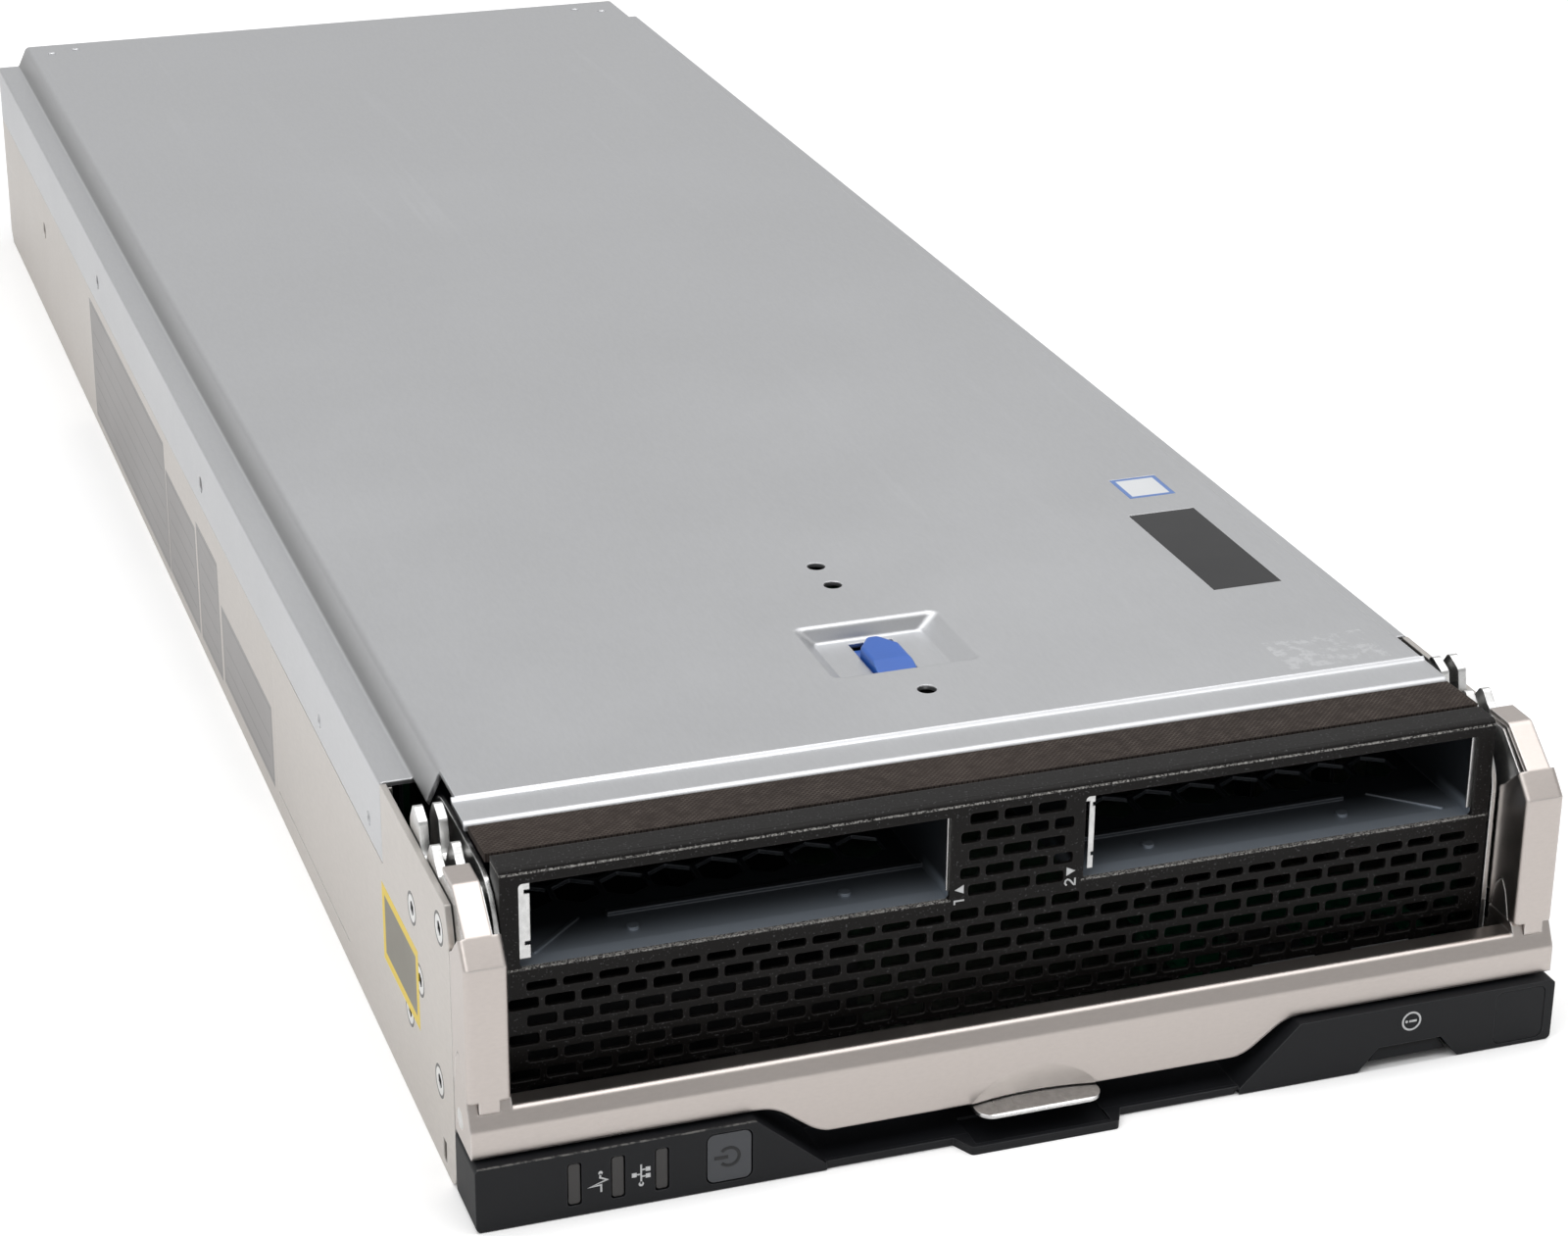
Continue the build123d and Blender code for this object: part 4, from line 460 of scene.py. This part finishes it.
def printed(name, body, material, outlines, y):
    """Flat outlines of (x, z) millimetres, printed on a face that looks to the front."""
    bm = bmesh.new()
    for ring in outlines:
        face = bm.faces.new([bm.verts.new((x * MM, y, z * MM)) for x, z in ring])
        for v in bmesh.ops.extrude_face_region(bm, geom=[face])["geom"]:
            if isinstance(v, bmesh.types.BMVert):
                v.co.y -= PRINT
    bmesh.ops.recalc_face_normals(bm, faces=bm.faces)
    mesh = bpy.data.meshes.new(name)
    bm.to_mesh(mesh)
    bm.free()
    piece = bpy.data.objects.new(name, mesh)
    bpy.context.scene.collection.objects.link(piece)
    mesh.materials.append(material)
    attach(piece, body)


def bar(x0, x1, z0, z1):
    return [(x0, z0), (x1, z0), (x1, z1), (x0, z1)]


def arc(x, z, radius, start, stop, steps):
    """Points on a circle between two angles in degrees."""
    angles = [math.radians(start + (stop - start) * n / steps) for n in range(steps + 1)]
    return [(x + radius * math.cos(a), z + radius * math.sin(a)) for a in angles]


def dot(x, z, radius):
    return arc(x, z, radius, 0.0, 337.5, 15)


SHARPEST = 0.45          # keeps the outer corner of a sharp bend from reaching too far


def stroke(points, width):
    """A line of even width through the points, in four-cornered pieces that meet at its bends."""
    sides = []
    for n, here in enumerate(points):
        before = Vector(points[max(n - 1, 0)])
        after = Vector(points[min(n + 1, len(points) - 1)])
        here = Vector(here)
        ways = [w.normalized() for w in (here - before, after - here) if w.length > 0]
        along = sum(ways, Vector((0.0, 0.0))).normalized()
        across = Vector((-along.y, along.x))
        reach = width / 2 / max(SHARPEST, abs(across.dot(Vector((-ways[0].y, ways[0].x)))))
        sides.append((here - across * reach, here + across * reach))
    return [[tuple(v) for v in (a[0], b[0], b[1], a[1])] for a, b in zip(sides, sides[1:])]


mark_white = plastic("mark_white", (206, 207, 208), 0.5, spread=0.03, grain=900.0, bump=0.05)
mark_dark = plastic("mark_dark", (26, 26, 28), 0.5, spread=0.03, grain=900.0, bump=0.05)
BEZEL_FACE = at(14.5)
PANEL_FACE = at(0.0)
BUTTON_FACE = at(0.1)

# Bay marks: the numbers 1 and 2, turned a quarter, each with an arrowhead to its bay
printed("bay_mark_one", "chassis", mark_white, [
    bar(-12.35, -10.25, 42.85, 43.2), bar(-12.35, -12.0, 42.3, 42.85),
    [(-12.2, 45.3), (-10.4, 44.4), (-10.4, 46.2)],
], BEZEL_FACE)
TWO_FOOT = (11.95, 42.5)
two = [(TWO_FOOT[0] - v, TWO_FOOT[1] + u) for u, v in (
    (1.45, 0.15), (0.1, 0.15), (0.1, 0.35), (1.15, 1.2), (1.35, 1.65), (1.1, 2.05), (0.6, 2.15), (0.1, 1.8),
)]
printed("bay_mark_two", "chassis", mark_white,
        stroke(two, 0.34) + [[(10.0, 46.4), (10.0, 44.6), (11.8, 45.5)]], BEZEL_FACE)

# Power mark on the power button, turned a quarter
printed("power_mark", "power_button", mark_dark,
        stroke(arc(-60.35, 6.75, 1.85, -140.0, 140.0, 24), 0.6) + [bar(-63.2, -60.6, 6.4, 7.1)], BUTTON_FACE)

# Pictograms beside the status windows: activity, and three linked boxes
ACTIVITY = (-84.85, 6.35)
pulse = [(ACTIVITY[0] + x, ACTIVITY[1] + z) for x, z in (
    (0.3, 1.7), (0.2, 0.9), (1.5, 0.25), (-1.8, -0.8), (0.4, -0.6), (0.4, -2.1),
)]
printed("activity_mark", "chassis", mark_white,
        stroke(pulse, 0.35) + [dot(-84.55, 8.2, 0.42)], PANEL_FACE)
printed("link_mark", "chassis", mark_white, [
    bar(-77.17, -76.83, 4.4, 8.45), dot(-77.0, 4.4, 0.5), bar(-78.75, -77.85, 6.0, 6.9),
    bar(-77.85, -77.17, 6.3, 6.6), bar(-76.15, -75.25, 6.9, 7.8), bar(-76.83, -76.15, 7.2, 7.5),
    bar(-76.15, -75.25, 5.5, 6.4), bar(-76.83, -76.15, 5.8, 6.1),
], PANEL_FACE)

# Information mark over the pull tab: a ring with a dot and a bar, turned a quarter
printed("information_mark", "chassis", mark_white,
        stroke(arc(76.7, 9.6, 1.85, 0.0, 360.0, 32), 0.4) + [dot(75.65, 9.6, 0.3), bar(76.2, 77.8, 9.37, 9.83)],
        PANEL_FACE)

# Camera
CAMERA_PLACE = (-0.2300, -0.8051, 0.35085)
CAMERA_SHIFT = (0.0534, -0.0424)
CAMERA_LENS = 79.86
yaw, pitch, roll = (math.radians(angle) for angle in (17.99, 22.96, -0.06))
forward = Vector((math.sin(yaw) * math.cos(pitch), math.cos(yaw) * math.cos(pitch), -math.sin(pitch)))
level_right = Vector((math.cos(yaw), -math.sin(yaw), 0.0))
level_up = level_right.cross(forward)
right = math.cos(roll) * level_right + math.sin(roll) * level_up
up = -math.sin(roll) * level_right + math.cos(roll) * level_up
camera_data = bpy.data.cameras.new("camera")
camera_data.lens = CAMERA_LENS
camera_data.sensor_width = 36.0
camera_data.shift_x, camera_data.shift_y = CAMERA_SHIFT
camera_data.clip_start = 0.01
camera = bpy.data.objects.new("camera", camera_data)
camera.matrix_world = Matrix((
    (right.x, up.x, -forward.x, CAMERA_PLACE[0]),
    (right.y, up.y, -forward.y, CAMERA_PLACE[1]),
    (right.z, up.z, -forward.z, CAMERA_PLACE[2]),
    (0, 0, 0, 1),
))
bpy.context.scene.collection.objects.link(camera)
bpy.context.scene.camera = camera

# World: white to the camera, lighter behind than in front to mirroring faces, and even to the rest
EVEN_LEVEL = 0.5
MIRRORED_COLOR = (0.8, 0.8, 0.8, 1)
MIRRORED_FRONT = (-0.75, 0.66)    # a direction along Y, and the level there
MIRRORED_BEHIND = (0.6, 0.88)
world = bpy.data.worlds.new("world")
bpy.context.scene.world = world
world.use_nodes = True
sky = Nodes(world.node_tree)
rays = sky.node("ShaderNodeLightPath").outputs


def background(color, strength):
    return sky.node("ShaderNodeBackground", {"Color": color, "Strength": strength}).outputs[0]


def by_ray(kind, others, chosen):
    """One shader for the named kind of ray, and another for the others."""
    return sky.node("ShaderNodeMixShader", {0: rays[kind], 1: others, 2: chosen}).outputs[0]


even = sky.nt.nodes["Background"]
even.inputs["Color"].default_value = WHITE
even.inputs["Strength"].default_value = EVEN_LEVEL
toward = sky.split(sky.node("ShaderNodeTexCoord").outputs["Generated"])["Y"]
level = sky.ramp(toward, MIRRORED_FRONT[0], MIRRORED_BEHIND[0], MIRRORED_FRONT[1], MIRRORED_BEHIND[1])
lit = by_ray("Is Glossy Ray", even.outputs[0], background(MIRRORED_COLOR, level))
shown = by_ray("Is Camera Ray", lit, background(WHITE, 1.0))
sky.feed(sky.nt.nodes["World Output"].inputs["Surface"], shown)


def area_light(name, place, target, size, power):
    data = bpy.data.lights.new(name, "AREA")
    data.shape = "RECTANGLE"
    data.size, data.size_y = size
    data.energy = power
    o = bpy.data.objects.new(name, data)
    o.location = place
    o.rotation_euler = (Vector(target) - Vector(place)).to_track_quat("-Z", "Y").to_euler()
    bpy.context.scene.collection.objects.link(o)


area_light("top", (0.0, -0.25, 1.4), (0, -0.1, 0.03), (2.2, 1.6), 20.0)
area_light("key", (-1.2, -0.9, 1.1), (0, -0.2, 0.03), (0.8, 0.8), 3.0)

# Floor: matt and pale, with a glow for the camera alone that leaves out the ground under the part
GLOW_DISTANCE = (0.5, 1.6)
GLOW_LEVEL = (0.2, 1.0)
UNDER_HALF = 0.107                # half the width of the ground without glow, and its rear end
UNDER_REAR = 0.3
floor_mesh = bpy.data.meshes.new("floor")
floor_mesh.from_pydata([(-4, -4, 0), (4, -4, 0), (4, 6, 0), (-4, 6, 0)], [], [(0, 1, 2, 3)])
floor = bpy.data.objects.new("floor", floor_mesh)
bpy.context.scene.collection.objects.link(floor)
ground = Tree("floor")
seen = ground.node("ShaderNodeLightPath").outputs["Is Camera Ray"]
distance = ground.node("ShaderNodeVectorMath", {0: ground.coord}, operation="LENGTH").outputs["Value"]
floor_x, floor_y, _ = ground.separate()
under = inside(ground, floor_x, floor_y, -UNDER_HALF, UNDER_HALF, FRONT, UNDER_REAR)
bare = ground.math("MULTIPLY", seen, ground.math("SUBTRACT", 1.0, under))
ground.set("Emission Color", WHITE)
ground.set("Emission Strength", ground.math("MULTIPLY", bare, ground.ramp(distance, *GLOW_DISTANCE, *GLOW_LEVEL)))
ground.set("Base Color", (0.92, 0.92, 0.92, 1.0))
ground.set("Roughness", 0.8)
floor_mesh.materials.append(ground.material)

view = bpy.context.scene.view_settings
view.view_transform = "Standard"
